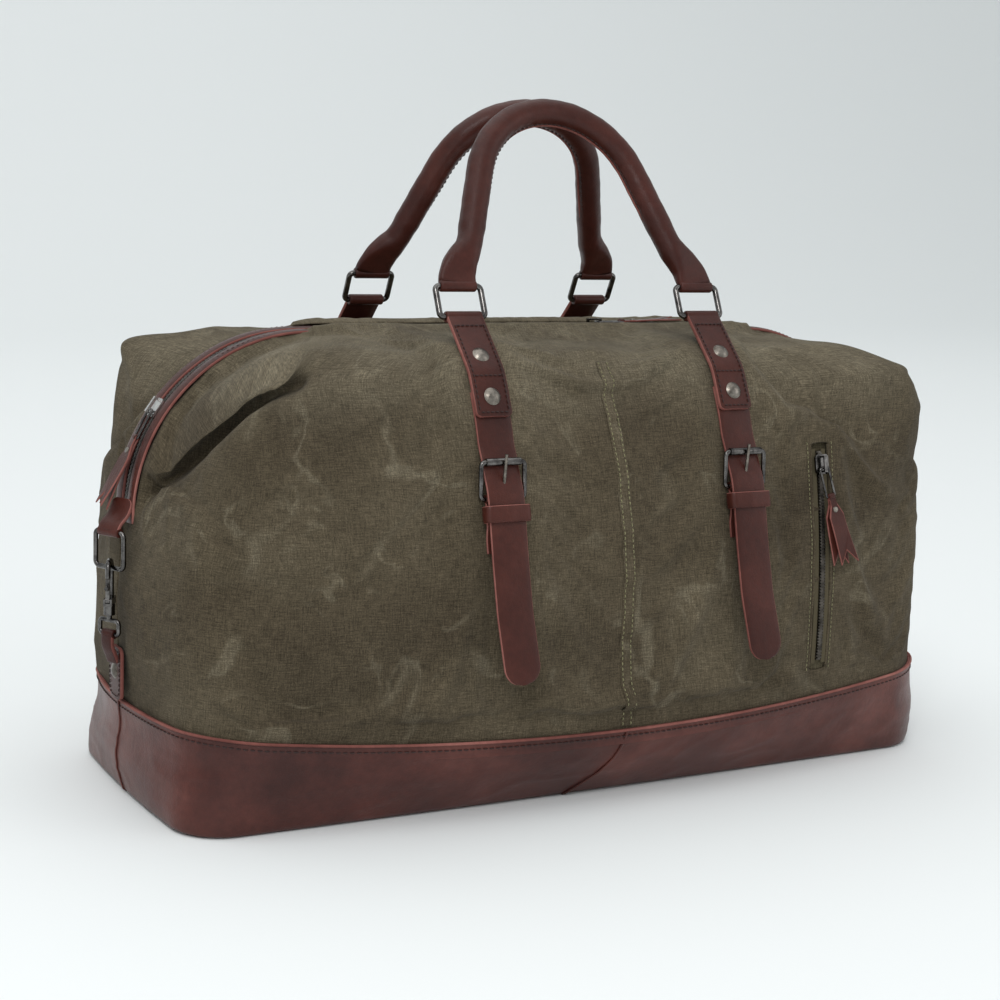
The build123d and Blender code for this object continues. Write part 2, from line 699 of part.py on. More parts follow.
def end_ring():
    """Oval ring that hangs in the zip end tab."""
    half, rise = END_RING
    ring = rounded_ring(half, rise / 2, 3.2, END_WIRE)
    plane = Plane(origin=(0, 0, END_BAR_Z - rise / 2), x_dir=(0, 1, 0), z_dir=(1, 0, 0))
    return plane.location * ring


def snap_hook():
    """Swivel snap hook: a curved jaw over the ring, open on its outer side, and a round barrel."""
    low, high = HOOK_Z
    top = high - HOOK_HALF
    back = rod((-HOOK_HALF, 0, low), (-HOOK_HALF, 0, top), HOOK_WIRE)
    path = Wire(
        [
            ThreePointArc((-HOOK_HALF, top), (0, high), (HOOK_HALF, top)),
            Line((HOOK_HALF, top), (HOOK_HALF, top - 4.5)),
        ]
    )
    crown = sweep(Plane(origin=(-HOOK_HALF, 0, top), z_dir=(0, 0, 1)) * Circle(HOOK_WIRE), path=Plane.XZ * path)
    yoke = block((-HOOK_HALF - HOOK_WIRE, HOOK_HALF + 1.2), (-2.6, 2.6), (low - 3.5, low + 1.0))
    slot = block((HOOK_HALF - 2.3, HOOK_HALF + 3), (-1.5, 1.5), (low - 1.6, low + 2))
    barrel = Pos(0, 0, low - 6.5) * Cylinder(3.4, 6.5)
    bore = Pos(0, 0, low - 7.0) * Cylinder(1.7, 6.0)
    pin = rod((HOOK_HALF, -2.6, low), (HOOK_HALF, 2.6, low), 0.8)
    return back + crown + (yoke - slot) + pin + (barrel - bore)


def hook_gate():
    """Sprung gate with its thumb lever; it turns on the hook's cross pin."""
    low, high = HOOK_Z
    leaf = block((HOOK_HALF - 1.1, HOOK_HALF + 1.1), (-1.2, 1.2), (low, high - HOOK_HALF - 5.0))
    leaf += rod((HOOK_HALF, -1.2, low), (HOOK_HALF, 1.2, low), 1.6)
    leaf += rod((HOOK_HALF + 0.6, 0, low + 7), (HOOK_HALF + 5.5, 0, low + 8.5), 1.1)
    return leaf - rod((HOOK_HALF, -3, low), (HOOK_HALF, 3, low), 0.8 + RUNNING)


def hook_swivel():
    """Swivel eye: a loop for the leather and a headed stem that turns in the hook's barrel."""
    low, high = EYE_Z
    ring = rounded_ring(EYE_HALF, (high - low - 2) / 2, 2.4, 1.4)
    plane = Plane(origin=(0, 0, (low + high - 2) / 2), x_dir=(0, 1, 0), z_dir=(1, 0, 0))
    stem = rod((0, 0, high - 2.2), (0, 0, HOOK_Z[0] - 4.6), 1.64)
    return plane.location * ring + stem


def end_patch():
    """Leather loop through the swivel eye, with its two ends under the stitched patch."""
    low, high = PATCH_Z
    eye = EYE_Z[0]
    half = EYE_HALF - 3.4
    bar = END_X - PATCH_OUT[1]
    line = [(0, eye), (0.4, eye - 7), (-bar / 2, high - 3), (0.6 - bar, high - 8)]
    loop = slab_y(strip(line, 3.0), -half, half)
    loop += rod((0, -half, eye), (0, half, eye), 1.4 + RUNNING + 1.5)
    loop -= rod((0, -12, eye), (0, 12, eye), 1.4 + RUNNING)
    patch = block((-PATCH_OUT[1], -PATCH_OUT[0]), (PATCH_Y - PATCH_HALF, PATCH_Y + PATCH_HALF), (low, high))
    return end_place() * loop + fillet(patch.edges().filter_by(Axis.X), 6)


def end_pieces():
    """The clip-down hardware at both ends."""
    pieces = {}
    place = end_place()
    for name, shape in (
        ("zip_end_tab", place * zip_end_tab()),
        ("end_ring", place * end_ring()),
        ("snap_hook", place * Rot(0, 0, HOOK_TURN) * snap_hook()),
        ("hook_gate", place * Rot(0, 0, HOOK_TURN) * hook_gate()),
        ("hook_swivel", place * hook_swivel()),
        ("end_patch", end_patch()),
    ):
        for side, half in zip(("left", "right"), both_ends(shape)):
            pieces[f"{name}_{side}"] = half
    return pieces


# ---------------------------------------------------------------- the whole bag
def build():
    """Every node of the bag by name."""
    pieces = {}
    pieces.update(canvas_panels())
    pieces.update(base_pieces())
    pieces["lining"] = Compound(lining().solids() + pocket_bag().solids())
    pieces.update(zip_pieces())
    pieces.update(handle_pieces())
    pieces.update(strap_pieces())
    pieces.update(end_pieces())
    pieces["rivets"] = rivets()
    return pieces


if __name__ == "__main__":
    os.makedirs("parts", exist_ok=True)
    for node, shape in build().items():
        export_step(shape, f"parts/{node}.step")
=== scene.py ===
import math

import bmesh
import bpy
import numpy as np
from mathutils import Matrix, Vector
from mathutils import noise as perlin

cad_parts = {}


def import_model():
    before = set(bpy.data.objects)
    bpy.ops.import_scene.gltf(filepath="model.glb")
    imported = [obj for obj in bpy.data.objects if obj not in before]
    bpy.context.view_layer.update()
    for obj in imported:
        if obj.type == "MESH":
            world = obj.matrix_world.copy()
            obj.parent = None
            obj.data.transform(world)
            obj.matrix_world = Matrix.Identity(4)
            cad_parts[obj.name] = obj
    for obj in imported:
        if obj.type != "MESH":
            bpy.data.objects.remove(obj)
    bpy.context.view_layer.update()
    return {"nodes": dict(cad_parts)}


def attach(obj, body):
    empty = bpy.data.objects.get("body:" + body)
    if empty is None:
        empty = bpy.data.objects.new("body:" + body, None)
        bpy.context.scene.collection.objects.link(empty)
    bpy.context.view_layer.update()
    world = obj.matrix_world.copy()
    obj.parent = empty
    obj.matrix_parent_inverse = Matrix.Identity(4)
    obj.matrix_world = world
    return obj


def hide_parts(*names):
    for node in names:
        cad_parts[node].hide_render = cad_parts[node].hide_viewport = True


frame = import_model()
MM = 0.001

# ------------------------------------------------------------------ the bag's own numbers, in millimetres
BODY = np.array([
    (0, 110, 268, 264, 107, 24), (26, 131, 279, 263, 110, 28), (47, 143, 280, 261, 112, 34),
    (81, 143, 283, 259, 112, 38), (125, 142, 285, 256, 112, 38), (156, 139, 282, 254, 111, 34),
    (180, 133, 279.5, 251, 110, 30), (210, 126, 273, 248, 109, 26), (240, 115, 257.5, 246, 108, 18),
    (267, 101, 231, 242, 105, 10), (276, 95, 215, 226, 91, 10), (283, 86, 197, 203, 82, 10),
    (287, 48, 176, 174, 46, 10), (289, 14, 162, 160, 13, 3),
], float)
RIM_MID, RIM_END, RIM_REACH = 49.0, 62.0, 290.0
ZIP_FLAT, ZIP_TOP, ZIP_RADIUS = 166.0, 287.0, 112.0
ZIP_CENTRE_Z = ZIP_TOP - ZIP_RADIUS
ZIP_END = math.radians(88)
TOP_SLIDER_X = 50.0
END_SLIDER = math.radians(55)
STRAP_X = 88.0
STRAP_HALF = 12.2
TAB_HALF = 12.3
UPPER_BAR = (-62.7, 319.0)
RING_RISE = 20.2
LEAN = math.radians(25.2)
HANDLE_TOP, HANDLE_ARC, HANDLE_BAR = 121.0, 60.0, 3.6
LEG_LEAN = math.radians(18.5)
BUCKLE_Z = 207.0
POCKET_X, POCKET_LOW, POCKET_HIGH, POCKET_SLIDER_Z = 156.0, 75.0, 217.0, 207.0
END_HARDWARE = (-291.0, -11.0, 0.0)
END_TURN = math.radians(206)
PATCH_X, PATCH_Y = -283.6, -6.0
CANVAS_IN = 1.7
CANVAS_THICK = 1.5


# ------------------------------------------------------------------ materials
class Recipe:
    """A Principled material and the few kinds of node that the looks below are made of."""

    def __init__(self, name, colour, rough, metal=0.0):
        self.material = bpy.data.materials.new(name)
        self.material.use_nodes = True
        self.material.diffuse_color = (*colour, 1)
        self.nodes, self.links = self.material.node_tree.nodes, self.material.node_tree.links
        self.shader = self.nodes["Principled BSDF"]
        self.feed(self.shader, {"Base Color": (*colour, 1), "Roughness": rough, "Metallic": metal})

    def feed(self, node, inputs):
        """Constants and other nodes' outputs into a node's inputs, by name or place."""
        for key, value in inputs.items():
            if isinstance(value, bpy.types.NodeSocket):
                self.links.new(value, node.inputs[key])
            else:
                node.inputs[key].default_value = value

    def add(self, kind, inputs, output=0, **settings):
        """One output of a new shader node."""
        node = self.nodes.new("ShaderNode" + kind)
        for key, value in settings.items():
            setattr(node, key, value)
        self.feed(node, inputs)
        return node.outputs[output]

    def space(self, kind):
        """Coordinates in metres: the piece's UV, or its own Object space."""
        return self.add("TexCoord", {}, kind)

    def stretched(self, space, scale):
        return self.add("Mapping", {"Vector": space, "Scale": scale})

    def noise(self, space, scale, detail=4.0, rough=0.55, distort=0.0):
        inputs = {"Vector": space, "Scale": scale, "Detail": detail}
        inputs |= {"Roughness": rough, "Distortion": distort}
        return self.add("TexNoise", inputs, "Fac")

    def threads(self, space, direction):
        """Straight thread lines across a UV direction."""
        inputs = {"Vector": space, "Scale": 330, "Distortion": 0.7, "Detail": 2, "Detail Scale": 3}
        return self.add("TexWave", inputs, "Fac", wave_type="BANDS", bands_direction=direction)

    def ramp(self, value, stops):
        """Colours, or greys given as one number, along a value."""
        node = self.nodes.new("ShaderNodeValToRGB")
        elements = node.color_ramp.elements
        while len(elements) < len(stops):
            elements.new(0.5)
        for element, (position, colour) in zip(elements, stops):
            element.position = position
            element.color = (*colour, 1) if isinstance(colour, tuple) else (colour, colour, colour, 1)
        self.feed(node, {"Fac": value})
        return node.outputs["Color"]

    def mix(self, kind, amount, under, over):
        """Colour over another; the upper one may be plain."""
        over = (*over, 1) if isinstance(over, tuple) else over
        return self.add("Mix", {0: amount, 6: under, 7: over}, 2, data_type="RGBA", blend_type=kind)

    def calculate(self, operation, a, b=0.0):
        return self.add("Math", {0: a, 1: b}, operation=operation)

    def levels(self, value, source=(0.0, 1.0), target=(0.0, 1.0), kind="LINEAR"):
        """A value moved from one span onto another."""
        inputs = {"Value": value, "From Min": source[0], "From Max": source[1]}
        inputs.update({"To Min": target[0], "To Max": target[1]})
        return self.add("MapRange", inputs, interpolation_type=kind)

    def finish(self, colour, layers):
        """The material, with its colour and a chain of bumps: (height, strength, metres) each."""
        inputs = {}
        for height, strength, depth in layers:
            inputs.update({"Height": height, "Strength": strength, "Distance": depth})
            inputs["Normal"] = self.add("Bump", inputs)
        self.feed(self.shader, {"Base Color": colour, "Normal": inputs["Normal"]})
        return self.material


def crease_lines(recipe, space, scale, width):
    """Broken thin lines along a noise's middle level, 0 to 0.27: where folded cloth has worn pale."""
    field = recipe.noise(space, scale, 3.0, 0.5, 0.8)
    away = recipe.calculate("ABSOLUTE", recipe.calculate("SUBTRACT", field, 0.5))
    line = recipe.levels(away, (0.0, width), (0.27, 0.0), "SMOOTHSTEP")
    patch = recipe.levels(recipe.noise(space, scale * 1.3, 2.0, 0.5), (0.47, 0.66), kind="SMOOTHSTEP")
    return recipe.calculate("MULTIPLY", line, patch)


def rubbed_and_lit_top(recipe, space):
    """How far the cloth is lightened, 0 to about 0.4: most along the bag's upper edges, partly rubbed wear and
    partly painted light from above.
    """
    height = recipe.add("SeparateXYZ", {0: recipe.space("Object")}, "Z")
    # lighter with height: painted top light as well as rubbing
    high = recipe.levels(height, (0.225, 0.285), kind="SMOOTHSTEP")
    patchy = recipe.levels(recipe.noise(space, 22, 4, 0.6), (0.3, 0.7), (0.12, 0.46))
    return recipe.calculate("MULTIPLY", high, patchy)


def canvas_material(name, dark, mid, light, wash_and_top_light):
    """Washed cotton canvas: mottled yarn, faded creases, a top that is rubbed pale and carries painted light from
    above, and a plain weave.
    """
    recipe = Recipe(name, mid, 0.92)
    uv = recipe.space("UV")
    colour = recipe.ramp(recipe.noise(uv, 9, 5, 0.6), [(0.3, dark), (0.5, mid), (0.72, light)])
    cloud = recipe.ramp(recipe.noise(uv, 38, 4, 0.65), [(0.3, 0.39), (0.7, 0.61)])
    colour = recipe.mix("OVERLAY", 0.5, colour, cloud)
    faded = crease_lines(recipe, uv, 7.0, 0.024)
    # the pale colour goes over worn creases, and over the top as rubbing plus painted top light
    for amount in (faded, crease_lines(recipe, uv, 19.0, 0.038), rubbed_and_lit_top(recipe, uv)):
        colour = recipe.mix("MIX", amount, colour, wash_and_top_light)
    for stretch in ((1.0, 0.09, 1.0), (0.09, 1.0, 1.0)):
        yarn = recipe.noise(recipe.stretched(uv, stretch), 1250, 3, 0.7)
        colour = recipe.mix("OVERLAY", 0.54, colour, recipe.ramp(yarn, [(0.34, 0.24), (0.66, 0.76)]))
    speckle = recipe.ramp(recipe.noise(uv, 1100, 2, 0.7), [(0.36, 0.3), (0.64, 0.7)])
    colour = recipe.mix("OVERLAY", 0.62, colour, speckle)
    recipe.feed(recipe.shader, {"Sheen Weight": 0.04, "Sheen Roughness": 0.5, "Specular IOR Level": 0.06})
    return recipe.finish(colour, [
        (recipe.noise(uv, 26, 5, 0.6, 0.6), 0.5, 0.0016),
        (faded, 0.5, 0.0006),
        (recipe.calculate("MULTIPLY", recipe.threads(uv, "X"), recipe.threads(uv, "Y")), 0.5, 0.0004),
        (recipe.noise(uv, 900, 2, 0.6), 0.35, 0.0003),
    ])


def leather_material(name, dark, mid, light, rough, grain=1.0, shine=0.2):
    """Waxed pull-up leather: cloudy colour, pores, fine creases and an uneven sheen."""
    recipe = Recipe(name, mid, rough)
    space = recipe.space("Object")
    colour = recipe.ramp(recipe.noise(space, 13, 5, 0.6), [(0.3, dark), (0.52, mid), (0.75, light)])
    speck = recipe.ramp(recipe.noise(space, 240, 3, 0.6), [(0.35, 0.38), (0.65, 0.6)])
    gloss = recipe.levels(recipe.noise(space, 45, 4, 0.6), target=(rough - 0.08, rough + 0.14))
    cells = recipe.add("TexVoronoi", {"Vector": space, "Scale": 520}, "Distance", feature="DISTANCE_TO_EDGE")
    recipe.feed(recipe.shader, {"Roughness": gloss, "Specular IOR Level": shine})
    recipe.feed(recipe.shader, {"Coat Weight": 0.03, "Coat Roughness": 0.3})
    return recipe.finish(recipe.mix("OVERLAY", 0.4, colour, speck), [
        (recipe.noise(space, 30, 4, 0.55, 0.5), 0.35 * grain, 0.0016),
        (recipe.noise(space, 150, 4, 0.6, 0.8), 0.3 * grain, 0.0006),
        (recipe.levels(cells, (0.0, 0.12)), 0.25 * grain, 0.0002),
    ])


def metal_material(name, dark, light, rough, streak=0.0):
    """Plated metal with hazy, slightly worn patches and optional brushing."""
    recipe = Recipe(name, light, rough, 1.0)
    space = recipe.space("Object")
    colour = recipe.ramp(recipe.noise(space, 160, 5, 0.65), [(0.32, dark), (0.7, light)])
    gloss = recipe.levels(recipe.noise(space, 300, 4, 0.6), target=(rough * 0.7, rough * 1.5))
    recipe.feed(recipe.shader, {"Roughness": gloss})
    return recipe.finish(colour, [
        (recipe.noise(space, 420, 3, 0.6), 0.12, 0.0003),
        (recipe.noise(recipe.stretched(space, (1, 1, 30)), 90, 3, 0.6), 0.1 + streak, 0.0002),
    ])


def thread_material(name, colour):
    """Waxed sewing thread with its twist."""
    recipe = Recipe(name, colour, 0.75)
    space = recipe.space("Object")
    stops = [(0.3, tuple(c * 0.6 for c in colour)), (0.7, tuple(min(1, c * 1.35) for c in colour))]
    return recipe.finish(recipe.ramp(recipe.noise(space, 900, 3, 0.6), stops),
                         [(recipe.noise(space, 2500, 2, 0.5), 0.5, 0.0002)])


# each canvas's last colour is its pale wash: worn creases, and a top rubbed pale with painted light from above
CANVAS_MAT = canvas_material(
    "canvas_olive", (0.052, 0.040, 0.026), (0.078, 0.062, 0.040),
    (0.112, 0.091, 0.060), (0.235, 0.205, 0.145))
TAPE_MAT = canvas_material(
    "zip_tape_cloth", (0.012, 0.009, 0.007), (0.02, 0.015, 0.012),
    (0.03, 0.022, 0.018), (0.035, 0.028, 0.022))
POCKET_TAPE_MAT = canvas_material(
    "pocket_tape_cloth", (0.055, 0.045, 0.027), (0.082, 0.068, 0.042),
    (0.105, 0.088, 0.056), (0.09, 0.078, 0.05))
LEATHER_MAT = leather_material(
    "leather_brown", (0.031, 0.0074, 0.0052), (0.050, 0.0120, 0.0080),
    (0.085, 0.0225, 0.0155), 0.33, 1.0, 0.22)
BASE_MAT = leather_material(
    "leather_base_brown", (0.041, 0.0102, 0.0076), (0.078, 0.0205, 0.0150),
    (0.152, 0.048, 0.0365), 0.33, 1.0, 0.3)
EDGE_MAT = leather_material(
    "leather_raw_edge", (0.13, 0.04, 0.032), (0.22, 0.078, 0.064), (0.36, 0.15, 0.125), 0.75, 1.4)
GUN_MAT = metal_material("gunmetal", (0.03, 0.028, 0.028), (0.2, 0.19, 0.182), 0.17)
SILVER_MAT = metal_material("antique_silver", (0.07, 0.06, 0.05), (0.3, 0.27, 0.235), 0.27, 0.15)
BRIGHT_MAT = metal_material("zip_silver", (0.3, 0.29, 0.28), (0.72, 0.7, 0.68), 0.22)
TEETH_MAT = metal_material("zip_teeth_metal", (0.03, 0.026, 0.022), (0.13, 0.115, 0.1), 0.34)
THREAD_MAT = thread_material("thread_olive", (0.20, 0.185, 0.095))
DARK_THREAD_MAT = thread_material("thread_brown", (0.028, 0.012, 0.01))
LEATHER_WITH_EDGES = [LEATHER_MAT, EDGE_MAT]


# ------------------------------------------------------------------ mesh makers
def make_object(name, points, faces, materials, face_material=None, uvs=None, smooth=True):
    """Mesh object from points in millimetres; uvs is one (u, v) in metres per point."""
    mesh = bpy.data.meshes.new(name)
    mesh.from_pydata([tuple(p) for p in np.asarray(points, float) * MM], [], [tuple(f) for f in faces])
    for material in materials:
        mesh.materials.append(material)
    if face_material is not None:
        mesh.polygons.foreach_set("material_index", np.asarray(face_material, np.int32))
    if uvs is not None:
        layer = mesh.uv_layers.new(name="UVMap")
        index = np.zeros(len(mesh.loops), np.int32)
        mesh.loops.foreach_get("vertex_index", index)
        layer.data.foreach_set("uv", np.asarray(uvs, np.float32)[index].ravel())
    mesh.polygons.foreach_set("use_smooth", np.full(len(mesh.polygons), smooth))
    mesh.validate()
    mesh.update()
    obj = bpy.data.objects.new(name, mesh)
    bpy.context.scene.collection.objects.link(obj)
    return obj


def grid_faces(rows, columns, wrap=False, start=0):
    """Quads of a rows by columns grid of points; wrap closes each row into a ring."""
    span = columns if wrap else columns - 1
    return [
        (start + i * columns + j, start + i * columns + (j + 1) % columns,
         start + (i + 1) * columns + (j + 1) % columns, start + (i + 1) * columns + j)
        for i in range(rows - 1) for j in range(span)
    ]


def unit(v):
    v = np.asarray(v, float)
    return v / np.maximum(np.linalg.norm(v, axis=-1, keepdims=True), 1e-12)


def lengths(line):
    """Distance along a polyline at each of its points."""
    return np.concatenate([[0], np.cumsum(np.linalg.norm(np.diff(line, axis=0), axis=1))])


def between(at, run, line):
    """Points at distances along a polyline whose own points lie at run."""
    return np.stack([np.interp(at, run, line[:, k]) for k in range(line.shape[1])], axis=-1)


def soften(line, passes):
    """The polyline evened out, with its ends kept."""
    for _ in range(passes):
        line[1:-1] = 0.25 * line[:-2] + 0.5 * line[1:-1] + 0.25 * line[2:]
    return line


def resample(points, step):
    """Points at even spacing along a polyline."""
    points = np.asarray(points, float)
    run = lengths(points)
    count = max(2, int(round(run[-1] / step)) + 1)
    return between(np.linspace(0, run[-1], count), run, points)


def rounded(points, step=1.5, passes=6):
    """A polyline softened into a smooth line through nearly the same points."""
    return soften(resample(points, step), passes)


def tangents(line):
    return unit(np.gradient(np.asarray(line, float), axis=0))


def strap_section(half, thick, crown=0.25, corner=0.45, count=9):
    """Section of a flat strap as (side, out) points, round at its edges and slightly crowned."""
    edge = [
        (half - corner + corner * math.cos(a), thick / 2 + (thick / 2) * math.sin(a))
        for a in np.linspace(-math.pi / 2, math.pi / 2, 7)
    ]
    across = np.linspace(half - corner, corner - half, count)[1:-1]
    top = [(x, thick + crown * (1 - (x / half) ** 2)) for x in across]
    left = [(-x, y) for x, y in reversed(edge)]
    bottom = [(x, 0.0) for x in np.linspace(corner - half, half - corner, 5)[1:-1]]
    return np.array(edge + top + left + bottom)


def cut_edge(j):
    """Whether a face lies on a cut edge, in a strap section with its usual number of points."""
    return j < 6 or 14 <= j < 20


def sweep(name, line, out, sections, mats):
    """Closed sweep of one section, or one per station, along a line; out is each station's outward way.

    A second material goes on a strap section's cut edges and on both ends.
    """
    line = np.asarray(line, float)
    out = np.broadcast_to(np.asarray(out, float), line.shape)
    along = tangents(line)
    side = unit(np.cross(along, out))
    out = unit(np.cross(side, along))
    sections = np.asarray(sections, float)
    if sections.ndim == 2:
        sections = np.broadcast_to(sections, (len(line), *sections.shape))
    points = line[:, None] + sections[..., 0:1] * side[:, None] + sections[..., 1:2] * out[:, None]
    rows, columns = points.shape[:2]
    faces = grid_faces(rows, columns, True)
    faces += [tuple(range(columns - 1, -1, -1)), tuple((rows - 1) * columns + j for j in range(columns))]
    raw_edges = len(mats) > 1
    kinds = [int(raw_edges and cut_edge(j)) for _ in range(rows - 1) for j in range(columns)]
    kinds += [int(raw_edges)] * 2
    run = lengths(line)
    girth = np.cumsum(np.linalg.norm(np.diff(sections[0], axis=0, prepend=sections[0][-1:]), axis=1))
    uvs = np.stack(np.broadcast_arrays(girth[None, :], run[:, None]), axis=-1).reshape(-1, 2) * MM
    return make_object(name, points.reshape(-1, 3), faces, mats, kinds, uvs)


def join(name, objects):
    """One object from several; materials are kept."""
    bpy.ops.object.select_all(action="DESELECT")
    for o in objects:
        o.select_set(True)
    bpy.context.view_layer.objects.active = objects[0]
    bpy.ops.object.join()
    objects[0].name = name
    objects[0].data.name = name
    return objects[0]


def stitches(name, line, out, mat, pitch=3.4, length=2.5, radius=0.42, lift=0.1):
    """Row of separate thread stitches, each dipping into the surface at its two ends."""
    line = np.asarray(line, float)
    out = unit(np.broadcast_to(np.asarray(out, float), line.shape))
    run = lengths(line)
    count = int(run[-1] / pitch)
    points, faces = [], []
    for i in range(count):
        middle = (i + 0.5) * run[-1] / count
        at = np.array([middle + length * s for s in (-0.5, -0.3, 0, 0.3, 0.5)])
        centre = between(at, run, line)
        normal = unit(between(at, run, out))
        way = unit(centre[-1] - centre[0])
        side = np.cross(way, normal[2])
        centre = centre + normal * (np.array([-0.5, 0.35, 0.8, 0.35, -0.5])[:, None] * radius + lift)
        width = np.array([0.45, 0.95, 1.0, 0.95, 0.45]) * radius
        base = len(points)
        for k in range(5):
            for a in range(6):
                t = math.tau * a / 6
                points.append(centre[k] + width[k] * (math.cos(t) * side + math.sin(t) * normal[2]))
        faces += grid_faces(5, 6, True, base)
        faces += [tuple(base + 5 - a for a in range(6)), tuple(base + 24 + a for a in range(6))]
    return make_object(name, points, faces, [mat])


def finish_piece(obj, body, nodes):
    """Ride on a body and stand for its CAD nodes."""
    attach(obj, body)
    if nodes:
        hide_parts(*nodes)
    return obj


# ------------------------------------------------------------------ the bag's outer surface
def smooth_rows():
    """BODY sampled finely along its middle profile and softened, with the profile's length."""
    run = lengths(BODY[:, :2])
    at = np.linspace(0, run[-1], 420)
    return at, soften(between(at, run, BODY), 22)


RUN, ROWS = smooth_rows()


def run_at(z):
    """Distance along the body's profile at a height."""
    return np.interp(z, ROWS[:, 0], RUN)


def arc_point(a, b, c, share):
    """Point on the parabola-like arc from a to c through b, at a share of the way."""
    share = np.asarray(share)[..., None]
    bulge = b - (a + c) / 2
    return a + (c - a) * share + bulge * 4 * share * (1 - share)


def perimeter(row, mouth, counts, inset):
    """Front half of one outline, from the left end at y=-mouth round the corner to the middle.

    counts is how many steps go to the end, the corner, the outer front and the inner front.
    """
    z, half_width, half_length, corner_x, corner_y, radius = row
    half_width, half_length = half_width - inset, half_length - inset
    corner = np.array([-(corner_x - inset), -(corner_y - inset)])
    end = np.array([-half_length, 0.0])
    mirrored = corner * (1, -1)
    shares = np.linspace(0, 0.5, 200)
    end_arc = arc_point(corner, end, mirrored, shares)[::-1]
    front_arc = arc_point(corner, np.array([0.0, -half_width]), corner * (-1, 1), shares)
    reach = min(radius * 1.15, 0.42 * corner_y, 40)
    to_corner = np.linalg.norm(end_arc - corner, axis=1)
    end_arc = end_arc[(to_corner >= reach) & (end_arc[:, 1] <= -mouth + 1e-6)]
    if mouth > 0 and len(end_arc):
        end_arc = np.vstack([[np.interp(mouth, -end_arc[:, 1], end_arc[:, 0]), -mouth], end_arc])
    if len(end_arc) < 2:
        end_arc = np.array([[-half_length, -mouth], corner + (0, 1)])
    front_arc = front_arc[np.linalg.norm(front_arc - corner, axis=1) >= reach]
    a, d = end_arc[-1], front_arc[0]
    t = np.linspace(0, 1, counts[1] + 1)[:, None]
    b, c = a + (corner - a) * 0.56, d + (corner - d) * 0.56
    bend = (1 - t) ** 3 * a + 3 * (1 - t) ** 2 * t * b + 3 * (1 - t) * t**2 * c + t**3 * d

    def even(line, count):
        run = lengths(line)
        return between(np.linspace(0, run[-1], count + 1), run, line)

    inner = min(184.0, 0.8 * -d[0])
    xs = np.concatenate([np.linspace(d[0], -inner, counts[2] + 1), np.linspace(-inner, 0, counts[3] + 1)[1:]])
    front = np.stack([xs, np.interp(xs, front_arc[:, 0], front_arc[:, 1])], axis=1)
    return np.vstack([even(end_arc, counts[0])[:-1], bend[:-1], front])


COUNTS = (26, 16, 10, 44)


def rim_height(x):
    """Height of the leather's top edge at x."""
    return RIM_MID + (RIM_END - RIM_MID) * (np.asarray(x, float) / RIM_REACH) ** 2


def surface(lines, inset, whole_mouth=True):
    """Closed grid (lines, columns, 3) of the front half, from the left end to the right end."""
    grid = []
    for s in lines:
        row = np.array([np.interp(s, RUN, ROWS[:, k]) for k in range(6)])
        share = np.clip((row[0] - 150) / 30, 0, 1) if whole_mouth else 0
        mouth = 12.0 * share * share * (3 - 2 * share)
        left = perimeter(row, mouth, COUNTS, inset)
        right = left[::-1][1:] * (-1, 1)
        plan = np.vstack([left, right])
        grid.append(np.column_stack([plan, np.full(len(plan), row[0])]))
    return np.array(grid)


def normals(grid):
    """Outward unit normals of a front-half grid."""
    across = np.gradient(grid, axis=1)
    up = np.gradient(grid, axis=0)
    return unit(np.cross(across, up))


# ------------------------------------------------------------------ canvas
def smooth_step(value):
    value = np.clip(value, 0, 1)
    return value * value * (3 - 2 * value)


def right_end_reach(points):
    """The right end stands fuller than the left: its corners reach further out, most of all at the top."""
    x, y, z = points[..., 0], points[..., 1], points[..., 2]
    corner = smooth_step((x - 150) / 90) * smooth_step((np.abs(y) - 32) / 56)
    return corner * (7.0 + 12.0 * smooth_step((z - 170) / 75))


def ear_folds(points, back):
    """Pull the canvas down to each zip end: a lip like a wing's edge with a deep tuck under it."""
    moved = points.copy()
    folds = ((-1, (-203.0, -92.0, 271.0), 0.2 if back else 1.0), (1, (236.0, -96.0, 270.0), 0.3))
    for sx, start, amount in folds:
        start = np.array(start)
        end = np.array([sx * 279.5, -20.0, 196.0])
        e = unit(end - start)
        outward = unit(np.array([sx * 0.62, -0.66, 0.42]))
        outward = unit(outward - e * (outward @ e))
        down = np.cross(e, outward)
        down = down if down[2] < 0 else -down
        rel = points - start
        t = rel @ e / np.linalg.norm(end - start)
        d = rel @ down + 12.0
        weight = smooth_step((t + 0.06) / 0.14) * (1 - 0.25 * smooth_step((t - 0.4) / 0.6)) * (t < 1.3)
        weight *= smooth_step((1.3 - t) / 0.42)
        near = amount * weight * (points[:, 0] * sx > 150) * smooth_step((np.abs(points[:, 1]) - 13) / 12)
        lip = np.exp(-((d / 8.0) ** 2))
        tuck = np.exp(-(((d - 15) / 8.0) ** 2))
        sag = np.exp(-(((d - 40) / 22.0) ** 2))
        valley = np.exp(-(((d + 34) / 16.0) ** 2))
        moved += outward * (near * (7.5 * lip - 25.0 * tuck - 3.0 * sag - 5.0 * valley))[:, None]
        moved += down * (near * 19.0 * np.exp(-((d / 7.0) ** 2)))[:, None]
    return moved


def crease_field(points, seed):
    """Soft pulled-cloth relief: broad sags crossed by a few sharper drag lines."""
    values = np.empty(len(points))
    for i, p in enumerate(points):
        broad = perlin.noise((p[0] * 0.011 + seed, p[1] * 0.011, p[2] * 0.014))
        along = (p[0] * 0.03 + seed + broad, p[1] * 0.03, p[2] * 0.035 + 0.7 * broad)
        sharp = 1 - abs(perlin.noise(along)) * 2
        values[i] = 2.6 * broad + 1.1 * max(sharp, 0) ** 3
    return values


